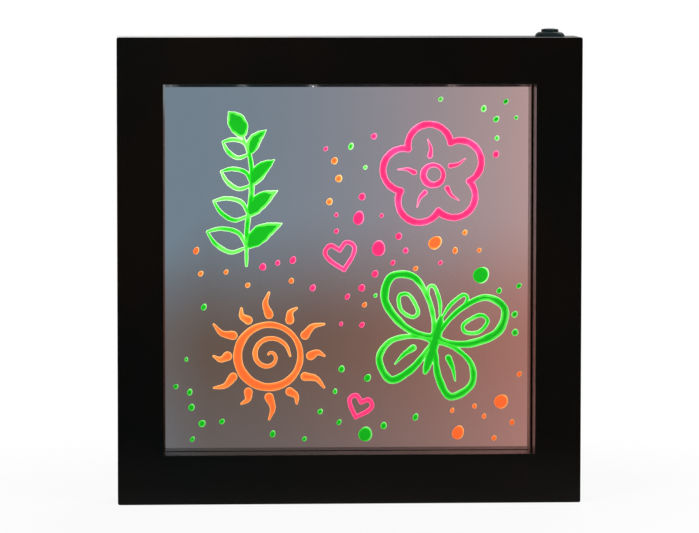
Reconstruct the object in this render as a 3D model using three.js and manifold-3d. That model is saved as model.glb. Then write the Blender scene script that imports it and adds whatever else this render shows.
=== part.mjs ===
// A square message board with a lit drawing panel. The origin is the middle of its base on the
// surface it stands on, x runs to the right, y runs to the back and z runs up. All lengths are in
// millimetres.
import * as THREE from "three";
import { mergeVertices } from "three/addons/utils/BufferGeometryUtils.js";
import Module from "manifold-3d";

// Frame
const boardWidth = 250;
const boardHeight = 251.5;
const boardDepth = 36;
const shellWall = 2;
const apertureWall = 1.6;
const footExtra = 1.9;
const topExtra = 0.5;
const rearReach = 1.1;
const shieldDrop = 2.5;
const recessDepth = 16.5;
const backPlate = 2;
const edgeRadius = 0.5;
const cornerRadius = 1.2;
const lipWall = 1.2;
const lipDepth = 3;

// Gap left where one piece fits in, round or over another
const fitGap = 0.3;
// How far a cutting shape runs past what it cuts
const overrun = 1;
// How far a moulded detail sinks into the wall it grows from
const rootDepth = 0.5;

// Drawing panel
const panelThick = 5;
const panelReach = 4;
const panelGap = 0.25;
const panelCorner = 2;
const panelBevel = 0.3;

// Light strip over the panel's top edge
const ledCount = 6;
const ledInset = 5;
const ledSize = 5;
const ledHeight = 1.6;
const ledDishRadius = 2;
const ledDishDepth = 0.5;
const ledNotch = 0.8;
const stripWidth = 8;
const stripThick = 1;
const stripEnd = 5;
const shelfThick = 1.6;
const shelfRibThick = 1.6;
const shelfRibShares = [-0.8, -0.3, 0.3, 0.8];

// Push button in the top rail
const buttonInset = 16;
const barrelRadius = 6;
const barrelLength = 13;
const barrelWall = 1;
const collarRadius = 8;
const collarEdge = 0.5;
const collarTopRadius = 5.85;
const collarShoulder = 1;
const collarHeight = 2.4;
const wellRadius = 5;
const wellFloor = 0.4;
const guideDepth = 2;
const stemRadius = 3.2;
const capProud = 2;
const capRound = 0.8;
const capCrown = 0.4;
const capSpigotRadius = 1.8;
const capSpigotLength = 1.2;
const buttonTravel = 1.4;
const footThick = 1.6;
const pilotRadius = 2.2;
const pilotLength = 2.4;
const springWire = 0.5;
const springTurns = 5;
const switchBaseThick = 1.4;
const nutWall = 0.7;
const nutThick = 2.5;
const lugWidth = 2.4;
const lugThick = 0.6;
const lugInside = 1.5;
const lugOutside = 3.2;
const lugHoleRadius = 0.6;

// Battery bay in the bottom rail
const bayClearance = 2.5;
const bayEndRoom = 45;
const cellRadius = 7.25;
const cellLength = 50.5;
const cellNubRadius = 2.75;
const cellNubLength = 1.3;
const cellShoulder = 0.8;
const cellGap = 0.4;
const bayWall = 1.3;
const bayLedge = 0.8;
const springRoom = 6;
const plateRoom = 2;
const plateThick = 0.5;
const plateSize = 12;
const plateCorner = 1.5;
const plateDimple = 0.7;
const plateDimpleRadius = 2.4;
const tabWidth = 3;
const tabLength = 5;
const cellSpringTurns = 4;
const cellSpringWire = 0.8;
const cellSpringWide = 5;
const cellSpringNarrow = 2.6;
const doorEnd = 11;
const doorCorner = 1;
const doorCupRadius = 4;
const doorCupDepth = 2.4;
const doorCupFloor = 1.6;
const doorPostRadius = 3.2;
const doorPostLength = 6;
const doorRibThick = 1.2;
const doorRibReach = 0.9;
const doorRibShares = [-0.5, -0.17, 0.17, 0.5];

// Screws
const screwRadius = 1.2;
const screwLength = 10;
const screwHeadRadius = 2.6;
const screwHeadHeight = 1.6;
const doorScrewLength = 7;
const boardScrewRadius = 0.8;
const boardScrewHeadRadius = 1.7;
const boardScrewHeadHeight = 1.2;
const screwTip = 0.6;

// Screw posts in the front shell and the wells that meet them in the rear cover
const postTopRadius = 3.3;
const postFootRadius = 3.9;
const wellDepth = 6;
const wellWall = 1.4;
const wellBase = 1.6;
const postInset = 9.5;
const topPostInset = 9;
const topPostShares = [-0.24, 0.24];
const lowPostHeight = 14;
const highPostDrop = 35;

// Control board in the right rail
const controlWidth = 16;
const controlLength = 55;
const controlThick = 1.6;
const controlStandoff = 3;
const controlPostRadius = 2.6;
const controlPostInset = 7.5;
const controlCorner = 1;
const padInset = 3;
const chipLength = 9;
const chipWidth = 5;
const chipHeight = 1.7;
const chipNotch = 0.7;
const capacitorRadius = 2.5;
const capacitorHeight = 7;
const capacitorRound = 0.4;

// Leads
const leadRadius = 0.7;
const ledLeadRadius = 1;
const leadPitch = 3;

// Numbers of facets
const arcSteps = 4;
const turnedSides = 32;
const postSides = 16;
const screwSides = 12;
const cellSides = 24;
const leadSides = 6;
const leadSteps = 30;
const coilSides = 5;
const coilSteps = 10;
const fullTurn = 2 * Math.PI;
const quarterTurn = Math.PI / 2;

// Places that follow from the sizes
const faceY = -boardDepth / 2;
const backY = boardDepth / 2;
const seamY = backY - backPlate;
const innerFaceY = faceY + shellWall;
const halfWidth = boardWidth / 2;
const halfHeight = boardHeight / 2;
const bayInnerHeight = 2 * (cellRadius + cellGap);
const bayHeight = bayInnerHeight + 2 * bayWall;
const footWidth = shellWall + bayClearance + bayHeight + fitGap + panelReach;
const railWidth = footWidth - footExtra;
const openHalfWidth = halfWidth - railWidth;
const slotFrontY = faceY + recessDepth;
const slotBackY = slotFrontY + panelThick + 2 * panelGap;
const panelY = (slotFrontY + slotBackY) / 2;
const panelWidth = 2 * (openHalfWidth + panelReach);
const panelBottomZ = footWidth - panelReach;
const panelTopZ = boardHeight - railWidth + panelReach;
const ledFaceZ = panelTopZ + fitGap;
const stripBottomZ = ledFaceZ + ledHeight;
const shelfBottomZ = stripBottomZ + stripThick;
const shelfTopZ = shelfBottomZ + shelfThick;
const ledPitch = (2 * (openHalfWidth - ledInset)) / (ledCount - 1);
const stripLength = (ledCount - 1) * ledPitch + ledSize + 2 * stripEnd;
const roofZ = boardHeight - shellWall;
const buttonX = halfWidth - buttonInset;
const barrelBottomZ = boardHeight - barrelLength;
const springTopZ = boardHeight + wellFloor - guideDepth - fitGap - footThick;
const springBottomZ = barrelBottomZ + switchBaseThick;
const chamberRadius = barrelRadius - barrelWall;
const capRadius = wellRadius - fitGap;
const nutAcross = 2 * (barrelRadius + fitGap + nutWall);
const lugSpread = chamberRadius;
const bayTopZ = panelBottomZ - fitGap;
const bayBottomZ = bayTopZ - bayHeight;
const cellZ = (bayTopZ + bayBottomZ) / 2;
const cellY = seamY - doorRibReach - fitGap - cellRadius;
const bayFloorY = cellY - cellRadius - cellGap;
const bayFrontY = bayFloorY - bayWall;
const cellCount = Math.floor((boardWidth - 2 * bayEndRoom) / cellLength);
const cellsLength = cellCount * cellLength;
const bayInnerLength = cellsLength + springRoom + plateRoom;
const bayLeftX = -bayInnerLength / 2;
const bayRightX = bayInnerLength / 2;
const cellsLeftX = bayLeftX + springRoom;
const doorLength = bayInnerLength + 2 * (bayWall + doorEnd);
const doorHeight = bayInnerHeight + 2 * (bayWall - bayLedge) - 2 * fitGap;
const doorScrewX = bayRightX + bayWall + doorEnd / 2;
const doorFloorY = backY - doorCupDepth - doorCupFloor - fitGap;
const wellFloorY = backY - wellDepth;
const postTopY = wellFloorY - wellBase - fitGap;
const highPostZ = boardHeight - highPostDrop;
const middlePostZ = (lowPostHeight + highPostZ) / 2;
const controlHeight = (middlePostZ + highPostZ) / 2;
const controlX = (openHalfWidth + apertureWall + halfWidth - shellWall) / 2;
const controlBackY = innerFaceY + controlStandoff;
const controlFrontY = controlBackY + controlThick;
const controlPostSpread = controlLength - 2 * controlPostInset;
const boardScrewLength = controlStandoff + controlThick - fitGap;
const capacitorDrop = (controlPostSpread + chipLength) / 4;

const wasm = await Module();
wasm.setup();

// Makes a closed geometry into a solid that can be joined and cut.
function solidOf(geometry) {
  const bare = geometry.clone();
  bare.deleteAttribute("normal");
  bare.deleteAttribute("uv");
  const merged = mergeVertices(bare);
  const vertProperties = Float32Array.from(merged.attributes.position.array);
  const triVerts = Uint32Array.from(merged.index.array);
  return new wasm.Manifold(new wasm.Mesh({ numProp: 3, vertProperties, triVerts }));
}

// Gives the surface of a solid back as a geometry.
function geometryOf(solid) {
  const mesh = solid.getMesh();
  const geometry = new THREE.BufferGeometry();
  const places = new Float32Array(mesh.vertProperties);
  geometry.setAttribute("position", new THREE.BufferAttribute(places, mesh.numProp));
  geometry.setIndex(new THREE.BufferAttribute(new Uint32Array(mesh.triVerts), 1));
  geometry.computeVertexNormals();
  return geometry;
}

// A rectangle with round corners, centred on the origin.
function roundedRectangle(width, height, radius) {
  const x = width / 2 - radius;
  const y = height / 2 - radius;
  const shape = new THREE.Shape();
  shape.moveTo(-x, -height / 2);
  shape.lineTo(x, -height / 2);
  shape.absarc(x, -y, radius, -quarterTurn, 0);
  shape.lineTo(width / 2, y);
  shape.absarc(x, y, radius, 0, quarterTurn);
  shape.lineTo(-x, height / 2);
  shape.absarc(-x, y, radius, quarterTurn, Math.PI);
  shape.lineTo(-width / 2, -y);
  shape.absarc(-x, -y, radius, Math.PI, Math.PI + quarterTurn);
  return shape;
}

// Extrudes an outline drawn in x and z from one depth to another.
function extrudeBack(shape, frontY, rearY, bevel = 0) {
  const geometry = new THREE.ExtrudeGeometry(shape, {
    depth: rearY - frontY - 2 * bevel,
    bevelEnabled: bevel > 0,
    bevelSize: bevel,
    bevelThickness: bevel,
    bevelOffset: -bevel,
    bevelSegments: 1,
    curveSegments: arcSteps,
  });
  return geometry.rotateX(quarterTurn).translate(0, rearY - bevel, 0);
}

// Extrudes an outline drawn in x and y upwards from one height to another.
function extrudeUp(shape, bottomZ, topZ) {
  const options = { depth: topZ - bottomZ, bevelEnabled: false, curveSegments: arcSteps };
  return new THREE.ExtrudeGeometry(shape, options).translate(0, 0, bottomZ);
}

// A block between two opposite corners.
function block(low, high) {
  const size = high.map((value, axis) => value - low[axis]);
  const middle = high.map((value, axis) => (value + low[axis]) / 2);
  return new THREE.BoxGeometry(...size).translate(...middle);
}

// Turns a profile of radius and distance along an axis that runs to the back.
function turnedBack(profile, sides, x, z) {
  const points = profile.map(([radius, along]) => new THREE.Vector2(radius, along));
  return new THREE.LatheGeometry(points, sides).translate(x, 0, z);
}

// Turns a profile of radius and height about an upright axis.
function turnedUp(profile, sides, x, y) {
  const points = profile.map(([radius, up]) => new THREE.Vector2(radius, up));
  return new THREE.LatheGeometry(points, sides).rotateX(quarterTurn).translate(x, y, 0);
}

// A plain round bar or hole, as a profile from one end to the other.
function roundProfile(radius, start, end) {
  return [[0, start], [radius, start], [radius, end], [0, end]];
}

// Sweeps a rail's section round the board, with mitred corners. The section is drawn as inset from
// the board's edge and depth behind its face. The inner half of a rail may lie further in on the
// sides, at the top and at the foot.
function mitredRing(section, { side, top, foot }) {
  const sides = [[-1, -1], [1, -1], [1, 1], [-1, 1]];
  const points = section.getPoints(arcSteps);
  if (points[0].distanceTo(points.at(-1)) < edgeRadius / arcSteps) points.pop();
  const places = [];
  const faces = [];
  const count = points.length;
  sides.forEach(([sideX, sideZ], corner) => {
    for (const [index, point] of points.entries()) {
      const inner = point.x > railWidth / 2 ? 1 : 0;
      places.push(sideX * (halfWidth - point.x - inner * side));
      places.push(faceY + point.y);
      const further = inner * (sideZ > 0 ? top : foot);
      places.push(halfHeight + sideZ * (halfHeight - point.x - further));
      const next = (index + 1) % count;
      const here = corner * count;
      const there = ((corner + 1) % sides.length) * count;
      faces.push(here + index, here + next, there + next);
      faces.push(here + index, there + next, there + index);
    }
  });
  const geometry = new THREE.BufferGeometry();
  geometry.setAttribute("position", new THREE.Float32BufferAttribute(places, 3));
  geometry.setIndex(faces);
  return geometry;
}

// The whole board's outline as a prism, which rounds the shells' four corners.
function cornerPrism() {
  const outline = roundedRectangle(boardWidth, boardHeight, cornerRadius);
  return extrudeBack(outline, faceY - overrun, backY + overrun).translate(0, 0, halfHeight);
}

// Where the screws that close the case go, as x and z.
function postPlaces() {
  const places = topPostShares.map((share) => [share * boardWidth, boardHeight - topPostInset]);
  for (const height of [lowPostHeight, middlePostZ, highPostZ]) {
    places.push([postInset - halfWidth, height], [halfWidth - postInset, height]);
  }
  return places;
}

// The section of the front shell: outer wall, face and the wall round the drawing recess.
function frontSection() {
  const section = new THREE.Shape();
  section.moveTo(0, edgeRadius);
  section.lineTo(0, boardDepth - backPlate);
  section.lineTo(shellWall, boardDepth - backPlate);
  section.lineTo(shellWall, shellWall);
  section.lineTo(railWidth - apertureWall, shellWall);
  section.lineTo(railWidth - apertureWall, recessDepth);
  section.lineTo(railWidth, recessDepth);
  section.lineTo(railWidth, edgeRadius);
  section.absarc(railWidth - edgeRadius, edgeRadius, edgeRadius, 0, -quarterTurn, true);
  section.lineTo(edgeRadius, 0);
  section.absarc(edgeRadius, edgeRadius, edgeRadius, -quarterTurn, -Math.PI, true);
  return section;
}

// A tapered post for a case screw, hollow from its top.
function casePost([x, z]) {
  const root = innerFaceY - rootDepth;
  return turnedBack([
    [0, root],
    [postFootRadius, root],
    [postTopRadius, postTopY],
    [screwRadius + fitGap, postTopY],
    [screwRadius + fitGap, wellFloorY - screwLength - fitGap],
    [0, wellFloorY - screwLength - fitGap],
  ], postSides, x, z);
}

// A short post that carries the control board.
function controlPost(z) {
  const root = innerFaceY - rootDepth;
  return turnedBack([
    [0, root],
    [controlPostRadius, root],
    [controlPostRadius, controlBackY],
    [boardScrewRadius + fitGap, controlBackY],
    [boardScrewRadius + fitGap, innerFaceY],
    [0, innerFaceY],
  ], screwSides, controlX, z);
}

// The shelf over the panel that carries the light strip, with ribs up to the roof of the case.
function stripShelf() {
  const halfShelf = stripLength / 2 + fitGap;
  const frontY = innerFaceY - rootDepth;
  const rearY = panelY + stripWidth / 2 + fitGap;
  let shelf = solidOf(block([-halfShelf, frontY, shelfBottomZ], [halfShelf, rearY, shelfTopZ]));
  for (const share of shelfRibShares) {
    const x = share * halfShelf;
    const rib = new THREE.Shape();
    rib.moveTo(frontY, shelfTopZ - rootDepth);
    rib.lineTo(rearY - shelfThick, shelfTopZ - rootDepth);
    rib.quadraticCurveTo(slotFrontY, roofZ - shelfThick, slotFrontY, roofZ + rootDepth);
    rib.lineTo(frontY, roofZ + rootDepth);
    const options = { depth: shelfRibThick, bevelEnabled: false, curveSegments: arcSteps };
    const plate = new THREE.ExtrudeGeometry(rib, options);
    const toSide = new THREE.Matrix4().set(0, 0, 1, x, 1, 0, 0, 0, 0, 1, 0, 0, 0, 0, 0, 1);
    shelf = shelf.add(solidOf(plate.applyMatrix4(toSide)));
  }
  return shelf;
}

// The front shell: the whole of the frame that shows from the front.
function frontFrame() {
  const ring = mitredRing(frontSection(), { side: 0, top: topExtra, foot: footExtra });
  let frame = solidOf(ring).intersect(solidOf(cornerPrism()));
  for (const place of postPlaces()) frame = frame.add(solidOf(casePost(place)));
  for (const side of [-1, 1]) {
    frame = frame.add(solidOf(controlPost(controlHeight + (side * controlPostSpread) / 2)));
  }
  frame = frame.add(stripShelf());
  const hole = roundProfile(barrelRadius + fitGap, roofZ - overrun, boardHeight + overrun);
  return geometryOf(frame.subtract(solidOf(turnedUp(hole, turnedSides, buttonX, 0))));
}

// The section of the rear cover: back plate, the lip inside the outer wall and the wall round the
// open back.
function rearSection() {
  const section = new THREE.Shape();
  const plateFront = boardDepth - backPlate;
  const lipStart = shellWall + fitGap;
  section.moveTo(0, plateFront);
  section.lineTo(0, boardDepth - edgeRadius);
  section.absarc(edgeRadius, boardDepth - edgeRadius, edgeRadius, Math.PI, quarterTurn, true);
  section.lineTo(railWidth - edgeRadius, boardDepth);
  section.absarc(railWidth - edgeRadius, boardDepth - edgeRadius, edgeRadius, quarterTurn, 0, true);
  section.lineTo(railWidth, slotBackY - faceY);
  section.lineTo(railWidth - apertureWall, slotBackY - faceY);
  section.lineTo(railWidth - apertureWall, plateFront);
  section.lineTo(lipStart + lipWall, plateFront);
  section.lineTo(lipStart + lipWall, plateFront - lipDepth);
  section.lineTo(lipStart, plateFront - lipDepth);
  section.lineTo(lipStart, plateFront);
  return section;
}

// The well that sinks a case screw's head into the rear cover.
function screwWell([x, z]) {
  const outer = screwHeadRadius + fitGap + wellWall;
  return turnedBack(roundProfile(outer, wellFloorY - wellBase, backY - rootDepth), postSides, x, z);
}

// What is cut out of the well: room for the head, and the hole for the shank.
function screwWellBore([x, z]) {
  return turnedBack([
    [0, wellFloorY - wellBase - overrun],
    [screwRadius + fitGap, wellFloorY - wellBase - overrun],
    [screwRadius + fitGap, wellFloorY],
    [screwHeadRadius + fitGap, wellFloorY],
    [screwHeadRadius + fitGap, backY + overrun],
    [0, backY + overrun],
  ], postSides, x, z);
}

// The battery bay's outer walls, with a screw post at each end for the door.
function bayWalls() {
  const endX = doorLength / 2 + fitGap + bayWall;
  const wallX = bayRightX + bayWall;
  const low = doorFloorY - bayWall;
  const rear = seamY + rootDepth;
  let walls = solidOf(block([-wallX, bayFrontY, bayBottomZ], [wallX, rear, bayTopZ]));
  walls = walls.add(solidOf(block([-endX, low, bayBottomZ], [endX, rear, bayTopZ])));
  for (const x of [-doorScrewX, doorScrewX]) {
    const post = roundProfile(doorPostRadius, doorFloorY - doorPostLength, doorFloorY);
    walls = walls.add(solidOf(turnedBack(post, postSides, x, cellZ)));
  }
  return walls;
}

// The hollows of the bay, in the order cells, door seat, door ends, screw holes and contact slots.
function bayHollows() {
  const lowZ = bayBottomZ + bayWall;
  const highZ = bayTopZ - bayWall;
  const out = backY + overrun;
  const seatX = doorLength / 2 + fitGap;
  const seatZ = doorHeight / 2 + fitGap;
  let hollows = solidOf(block([bayLeftX, bayFloorY, lowZ], [bayRightX, out, highZ]));
  const seat = block([-seatX, seamY, cellZ - seatZ], [seatX, out, cellZ + seatZ]);
  hollows = hollows.add(solidOf(seat));
  for (const side of [-1, 1]) {
    const ends = [side * (bayRightX + bayWall), side * seatX].sort((a, b) => a - b);
    const end = block([ends[0], doorFloorY, lowZ], [ends[1], out, highZ]);
    hollows = hollows.add(solidOf(end));
    const deep = doorFloorY - doorPostLength - overrun;
    const bore = roundProfile(screwRadius + fitGap, deep, out);
    hollows = hollows.add(solidOf(turnedBack(bore, postSides, side * doorScrewX, cellZ)));
    const slots = [side * (bayRightX - overrun), side * (bayRightX + bayWall + overrun)];
    slots.sort((a, b) => a - b);
    const slotHalf = tabWidth / 2 + fitGap;
    const slotY = tabY();
    const slot = block(
      [slots[0], slotY - fitGap, cellZ - slotHalf],
      [slots[1], slotY + plateThick + fitGap, cellZ + slotHalf],
    );
    hollows = hollows.add(solidOf(slot));
  }
  return hollows;
}

// The depth at which a contact's tab leaves the bay.
function tabY() {
  return cellY - plateSize / 2;
}

// The rear cover: back plate, wall round the open back, screw wells and battery bay. Its opening is
// a little smaller than the front one, and smallest at the top, where it shields the lights.
function rearCover() {
  const ring = mitredRing(rearSection(), { side: rearReach, top: shieldDrop, foot: footExtra });
  let cover = solidOf(ring).intersect(solidOf(cornerPrism()));
  for (const place of postPlaces()) cover = cover.add(solidOf(screwWell(place)));
  for (const place of postPlaces()) cover = cover.subtract(solidOf(screwWellBore(place)));
  return geometryOf(cover.add(bayWalls()).subtract(bayHollows()));
}

// The clear drawing panel with polished edges.
function acrylicPanel() {
  const outline = roundedRectangle(panelWidth, panelTopZ - panelBottomZ, panelCorner);
  const frontY = panelY - panelThick / 2;
  const panel = extrudeBack(outline, frontY, frontY + panelThick, panelBevel);
  return panel.translate(0, 0, (panelTopZ + panelBottomZ) / 2);
}

// The strip that carries the lights.
function ledStrip() {
  const outline = roundedRectangle(stripLength, stripWidth, stripThick / 2);
  return extrudeUp(outline, stripBottomZ, shelfBottomZ).translate(0, panelY, 0);
}

// One light: a square package with a keyed corner and a round dish that faces the panel's edge.
function led(x) {
  const half = ledSize / 2;
  const outline = new THREE.Shape();
  outline.moveTo(-half, -half);
  outline.lineTo(half, -half);
  outline.lineTo(half, half - ledNotch);
  outline.lineTo(half - ledNotch, half);
  outline.lineTo(-half, half);
  const housing = extrudeUp(outline, ledFaceZ, stripBottomZ).translate(x, panelY, 0);
  const dish = roundProfile(ledDishRadius, ledFaceZ - overrun, ledFaceZ + ledDishDepth);
  const cut = turnedUp(dish, postSides, x, panelY);
  return geometryOf(solidOf(housing).subtract(solidOf(cut)));
}

// The switch's body: a flared collar on the top rail and a barrel below it, with a well for the
// cap, a guide for the stem and a chamber for the spring.
function switchBody() {
  const top = boardHeight;
  const flare = new THREE.QuadraticBezierCurve(
    new THREE.Vector2(collarRadius, top + collarEdge),
    new THREE.Vector2(collarTopRadius + collarShoulder, top + collarHeight),
    new THREE.Vector2(collarTopRadius, top + collarHeight),
  );
  return turnedUp([
    [chamberRadius, barrelBottomZ],
    [barrelRadius, barrelBottomZ],
    [barrelRadius, top],
    [collarRadius, top],
    ...flare.getPoints(arcSteps).map((point) => [point.x, point.y]),
    [wellRadius, top + collarHeight],
    [wellRadius, top + wellFloor],
    [stemRadius + fitGap, top + wellFloor],
    [stemRadius + fitGap, top + wellFloor - guideDepth],
    [chamberRadius, top + wellFloor - guideDepth],
    [chamberRadius, barrelBottomZ],
  ], turnedSides, buttonX, 0);
}

// The cap that a finger presses, crowned on top, with a socket under it for the stem.
function buttonCap() {
  const low = boardHeight + wellFloor + buttonTravel + fitGap;
  const high = boardHeight + collarHeight + capProud;
  const socket = capSpigotRadius + fitGap;
  const rim = high - capCrown;
  const edge = new THREE.EllipseCurve(
    capRadius - capRound, rim - capRound, capRound, capRound, 0, quarterTurn,
  );
  const crown = new THREE.QuadraticBezierCurve(
    new THREE.Vector2(capRadius - capRound, rim),
    new THREE.Vector2(capRadius / 2, high),
    new THREE.Vector2(0, high),
  );
  const outline = [...edge.getPoints(arcSteps), ...crown.getPoints(arcSteps).slice(1)];
  return turnedUp([
    [0, low + capSpigotLength + fitGap],
    [socket, low + capSpigotLength + fitGap],
    [socket, low],
    [capRadius, low],
    ...outline.map((point) => [point.x, point.y]),
  ], turnedSides, buttonX, 0);
}

// The plunger: a spigot in the cap, a stem in the guide, a foot that holds it in the barrel and a
// pilot for the spring.
function buttonPlunger() {
  const capLow = boardHeight + wellFloor + buttonTravel + fitGap;
  return turnedUp([
    [0, springTopZ - pilotLength],
    [pilotRadius, springTopZ - pilotLength],
    [pilotRadius, springTopZ],
    [chamberRadius - fitGap, springTopZ],
    [chamberRadius - fitGap, springTopZ + footThick],
    [stemRadius, springTopZ + footThick],
    [stemRadius, capLow],
    [capSpigotRadius, capLow],
    [capSpigotRadius, capLow + capSpigotLength],
    [0, capLow + capSpigotLength],
  ], postSides, buttonX, 0);
}

// The path of a wound spring that may narrow on the way.
class CoilPath extends THREE.Curve {
  constructor(startRadius, endRadius, length, turns) {
    super();
    Object.assign(this, { startRadius, endRadius, length, turns });
  }

  getPoint(share, target = new THREE.Vector3()) {
    const angle = share * this.turns * fullTurn;
    const radius = this.startRadius + share * (this.endRadius - this.startRadius);
    return target.set(radius * Math.cos(angle), radius * Math.sin(angle), share * this.length);
  }
}

// A round wire or lead along a path.
function wireAlong(path, radius, sides, steps) {
  const section = new THREE.Shape();
  for (let side = 0; side < sides; side += 1) {
    const angle = (side / sides) * fullTurn;
    const [x, y] = [radius * Math.cos(angle), radius * Math.sin(angle)];
    if (side === 0) section.moveTo(x, y);
    else section.lineTo(x, y);
  }
  return new THREE.ExtrudeGeometry(section, { steps, extrudePath: path, bevelEnabled: false });
}

// The spring that lifts the button, between the plunger's foot and the switch's base.
function buttonSpring() {
  const wire = springWire / 2;
  const radius = (pilotRadius + chamberRadius) / 2;
  const room = springTopZ - springBottomZ - springWire - fitGap;
  const path = new CoilPath(radius, radius, room, springTurns);
  const coil = wireAlong(path, wire, coilSides, springTurns * coilSteps);
  return coil.translate(buttonX, 0, springBottomZ + wire + fitGap / 2);
}

// The disc that closes the barrel and holds the two contact lugs.
function switchBase() {
  const disc = roundProfile(chamberRadius - fitGap, barrelBottomZ, springBottomZ);
  let base = solidOf(turnedUp(disc, postSides, buttonX, 0));
  for (const side of [-1, 1]) base = base.subtract(solidOf(lugPrism(side, fitGap, overrun)));
  return geometryOf(base);
}

// The straight prism of a contact lug, made larger all round by a margin.
function lugPrism(side, margin, past) {
  const halfWide = lugWidth / 2 + margin;
  const halfThick = lugThick / 2 + margin;
  const y = (side * lugSpread) / 2;
  return block(
    [buttonX - halfWide, y - halfThick, barrelBottomZ - lugOutside - past],
    [buttonX + halfWide, y + halfThick, springBottomZ + lugInside + past],
  );
}

// One contact lug, with the hole that its lead is soldered through.
function switchLug(side) {
  const y = (side * lugSpread) / 2;
  const holeZ = barrelBottomZ - lugOutside + lugWidth / 2;
  const hole = roundProfile(lugHoleRadius, y - lugThick, y + lugThick);
  const cut = turnedBack(hole, screwSides, buttonX, holeZ);
  return geometryOf(solidOf(lugPrism(side, 0, 0)).subtract(solidOf(cut)));
}

// The six-sided nut that clamps the barrel under the roof of the case.
function switchNut() {
  const corners = 6;
  const reach = nutAcross / 2 / Math.cos(Math.PI / corners);
  const outline = new THREE.Shape();
  for (let corner = 0; corner < corners; corner += 1) {
    const angle = (corner / corners) * fullTurn;
    if (corner === 0) outline.moveTo(reach, 0);
    else outline.lineTo(reach * Math.cos(angle), reach * Math.sin(angle));
  }
  const nut = extrudeUp(outline, roofZ - nutThick, roofZ).translate(buttonX, 0, 0);
  const bore = roundProfile(barrelRadius + fitGap, roofZ - nutThick - overrun, roofZ + overrun);
  return geometryOf(solidOf(nut).subtract(solidOf(turnedUp(bore, turnedSides, buttonX, 0))));
}

// The circuit board that drives the lights, with its two screw holes.
function controlBoard() {
  const outline = roundedRectangle(controlWidth, controlLength, controlCorner);
  let board = solidOf(
    extrudeBack(outline, controlBackY, controlFrontY).translate(controlX, 0, controlHeight),
  );
  for (const z of controlScrewHeights()) {
    const hole = roundProfile(
      boardScrewRadius + fitGap, controlBackY - overrun, controlFrontY + overrun,
    );
    board = board.subtract(solidOf(turnedBack(hole, screwSides, controlX, z)));
  }
  return geometryOf(board);
}

function controlScrewHeights() {
  return [-1, 1].map((side) => controlHeight + (side * controlPostSpread) / 2);
}

// The controller chip, with the half-round notch at its first leg.
function controlChip() {
  const half = chipLength / 2;
  const outline = new THREE.Shape();
  outline.moveTo(-chipWidth / 2, -half);
  outline.lineTo(chipWidth / 2, -half);
  outline.lineTo(chipWidth / 2, half);
  outline.lineTo(chipNotch, half);
  outline.absarc(0, half, chipNotch, 0, -Math.PI, true);
  outline.lineTo(-chipWidth / 2, half);
  const chip = extrudeBack(outline, controlFrontY, controlFrontY + chipHeight);
  return chip.translate(controlX, 0, controlHeight);
}

// The round capacitor beside the chip.
function filterCapacitor() {
  const end = controlFrontY + capacitorHeight;
  return turnedBack([
    [0, controlFrontY],
    [capacitorRadius, controlFrontY],
    [capacitorRadius, end - capacitorRound],
    [capacitorRadius - capacitorRound, end],
    [0, end],
  ], postSides, controlX, controlHeight - capacitorDrop);
}

// A pan-head screw driven in from the back, with its head seated at a depth.
function screw(sizes, seatY, x, z) {
  const { radius, length, headRadius, headHeight } = sizes;
  return turnedBack([
    [0, seatY - length],
    [radius - screwTip, seatY - length],
    [radius, seatY - length + screwTip],
    [radius, seatY],
    [headRadius, seatY],
    [headRadius, seatY + headHeight / 2],
    [headRadius - headHeight / 2, seatY + headHeight],
    [0, seatY + headHeight],
  ], screwSides, x, z);
}

const caseScrewSizes = {
  radius: screwRadius,
  length: screwLength,
  headRadius: screwHeadRadius,
  headHeight: screwHeadHeight,
};
const doorScrewSizes = { ...caseScrewSizes, length: doorScrewLength };
const boardScrewSizes = {
  radius: boardScrewRadius,
  length: boardScrewLength,
  headRadius: boardScrewHeadRadius,
  headHeight: boardScrewHeadHeight,
};

// One battery cell, with its plus end to the right.
function batteryCell(index) {
  const left = cellsLeftX + index * cellLength;
  const shoulder = left + cellLength - cellNubLength;
  const profile = [
    [0, left],
    [cellRadius - cellShoulder, left],
    [cellRadius, left + cellShoulder],
    [cellRadius, shoulder - cellShoulder],
    [cellRadius - cellShoulder, shoulder],
    [cellNubRadius, shoulder],
    [cellNubRadius, left + cellLength],
    [0, left + cellLength],
  ];
  const points = profile.map(([radius, along]) => new THREE.Vector2(radius, along));
  const cell = new THREE.LatheGeometry(points, cellSides).rotateZ(-quarterTurn);
  return cell.translate(0, cellY, cellZ);
}

// A contact plate at one end of the bay, bent into a tab that passes out through the end wall.
function contactPlate(side) {
  const endX = side < 0 ? bayLeftX : bayRightX;
  const leafX = endX - side * fitGap;
  const outline = roundedRectangle(plateSize, plateSize, plateCorner);
  const leaf = new THREE.ExtrudeGeometry(outline, {
    depth: plateThick,
    bevelEnabled: false,
    curveSegments: arcSteps,
  });
  const shift = side < 0 ? leafX : leafX - plateThick;
  leaf.rotateX(quarterTurn).rotateZ(quarterTurn).translate(shift, cellY, cellZ);
  const xs = [leafX - side * plateThick, leafX + side * tabLength].sort((a, b) => a - b);
  const front = tabY();
  const tab = block(
    [xs[0], front, cellZ - tabWidth / 2],
    [xs[1], front + plateThick, cellZ + tabWidth / 2],
  );
  return solidOf(leaf).add(solidOf(tab));
}

// The plus contact, with the raised dimple that meets the last cell.
function positivePlate() {
  const dimpleX = bayRightX - fitGap - plateThick;
  const reach = plateRoom - fitGap - plateThick - plateGapToCell();
  const points = [
    [0, -reach],
    [plateDimpleRadius - plateDimple, -reach],
    [plateDimpleRadius, plateThick / 2],
    [0, plateThick / 2],
  ].map(([radius, along]) => new THREE.Vector2(radius, along));
  const dimple = new THREE.LatheGeometry(points, postSides).rotateZ(-quarterTurn);
  return geometryOf(contactPlate(1).add(solidOf(dimple.translate(dimpleX, cellY, cellZ))));
}

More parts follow.
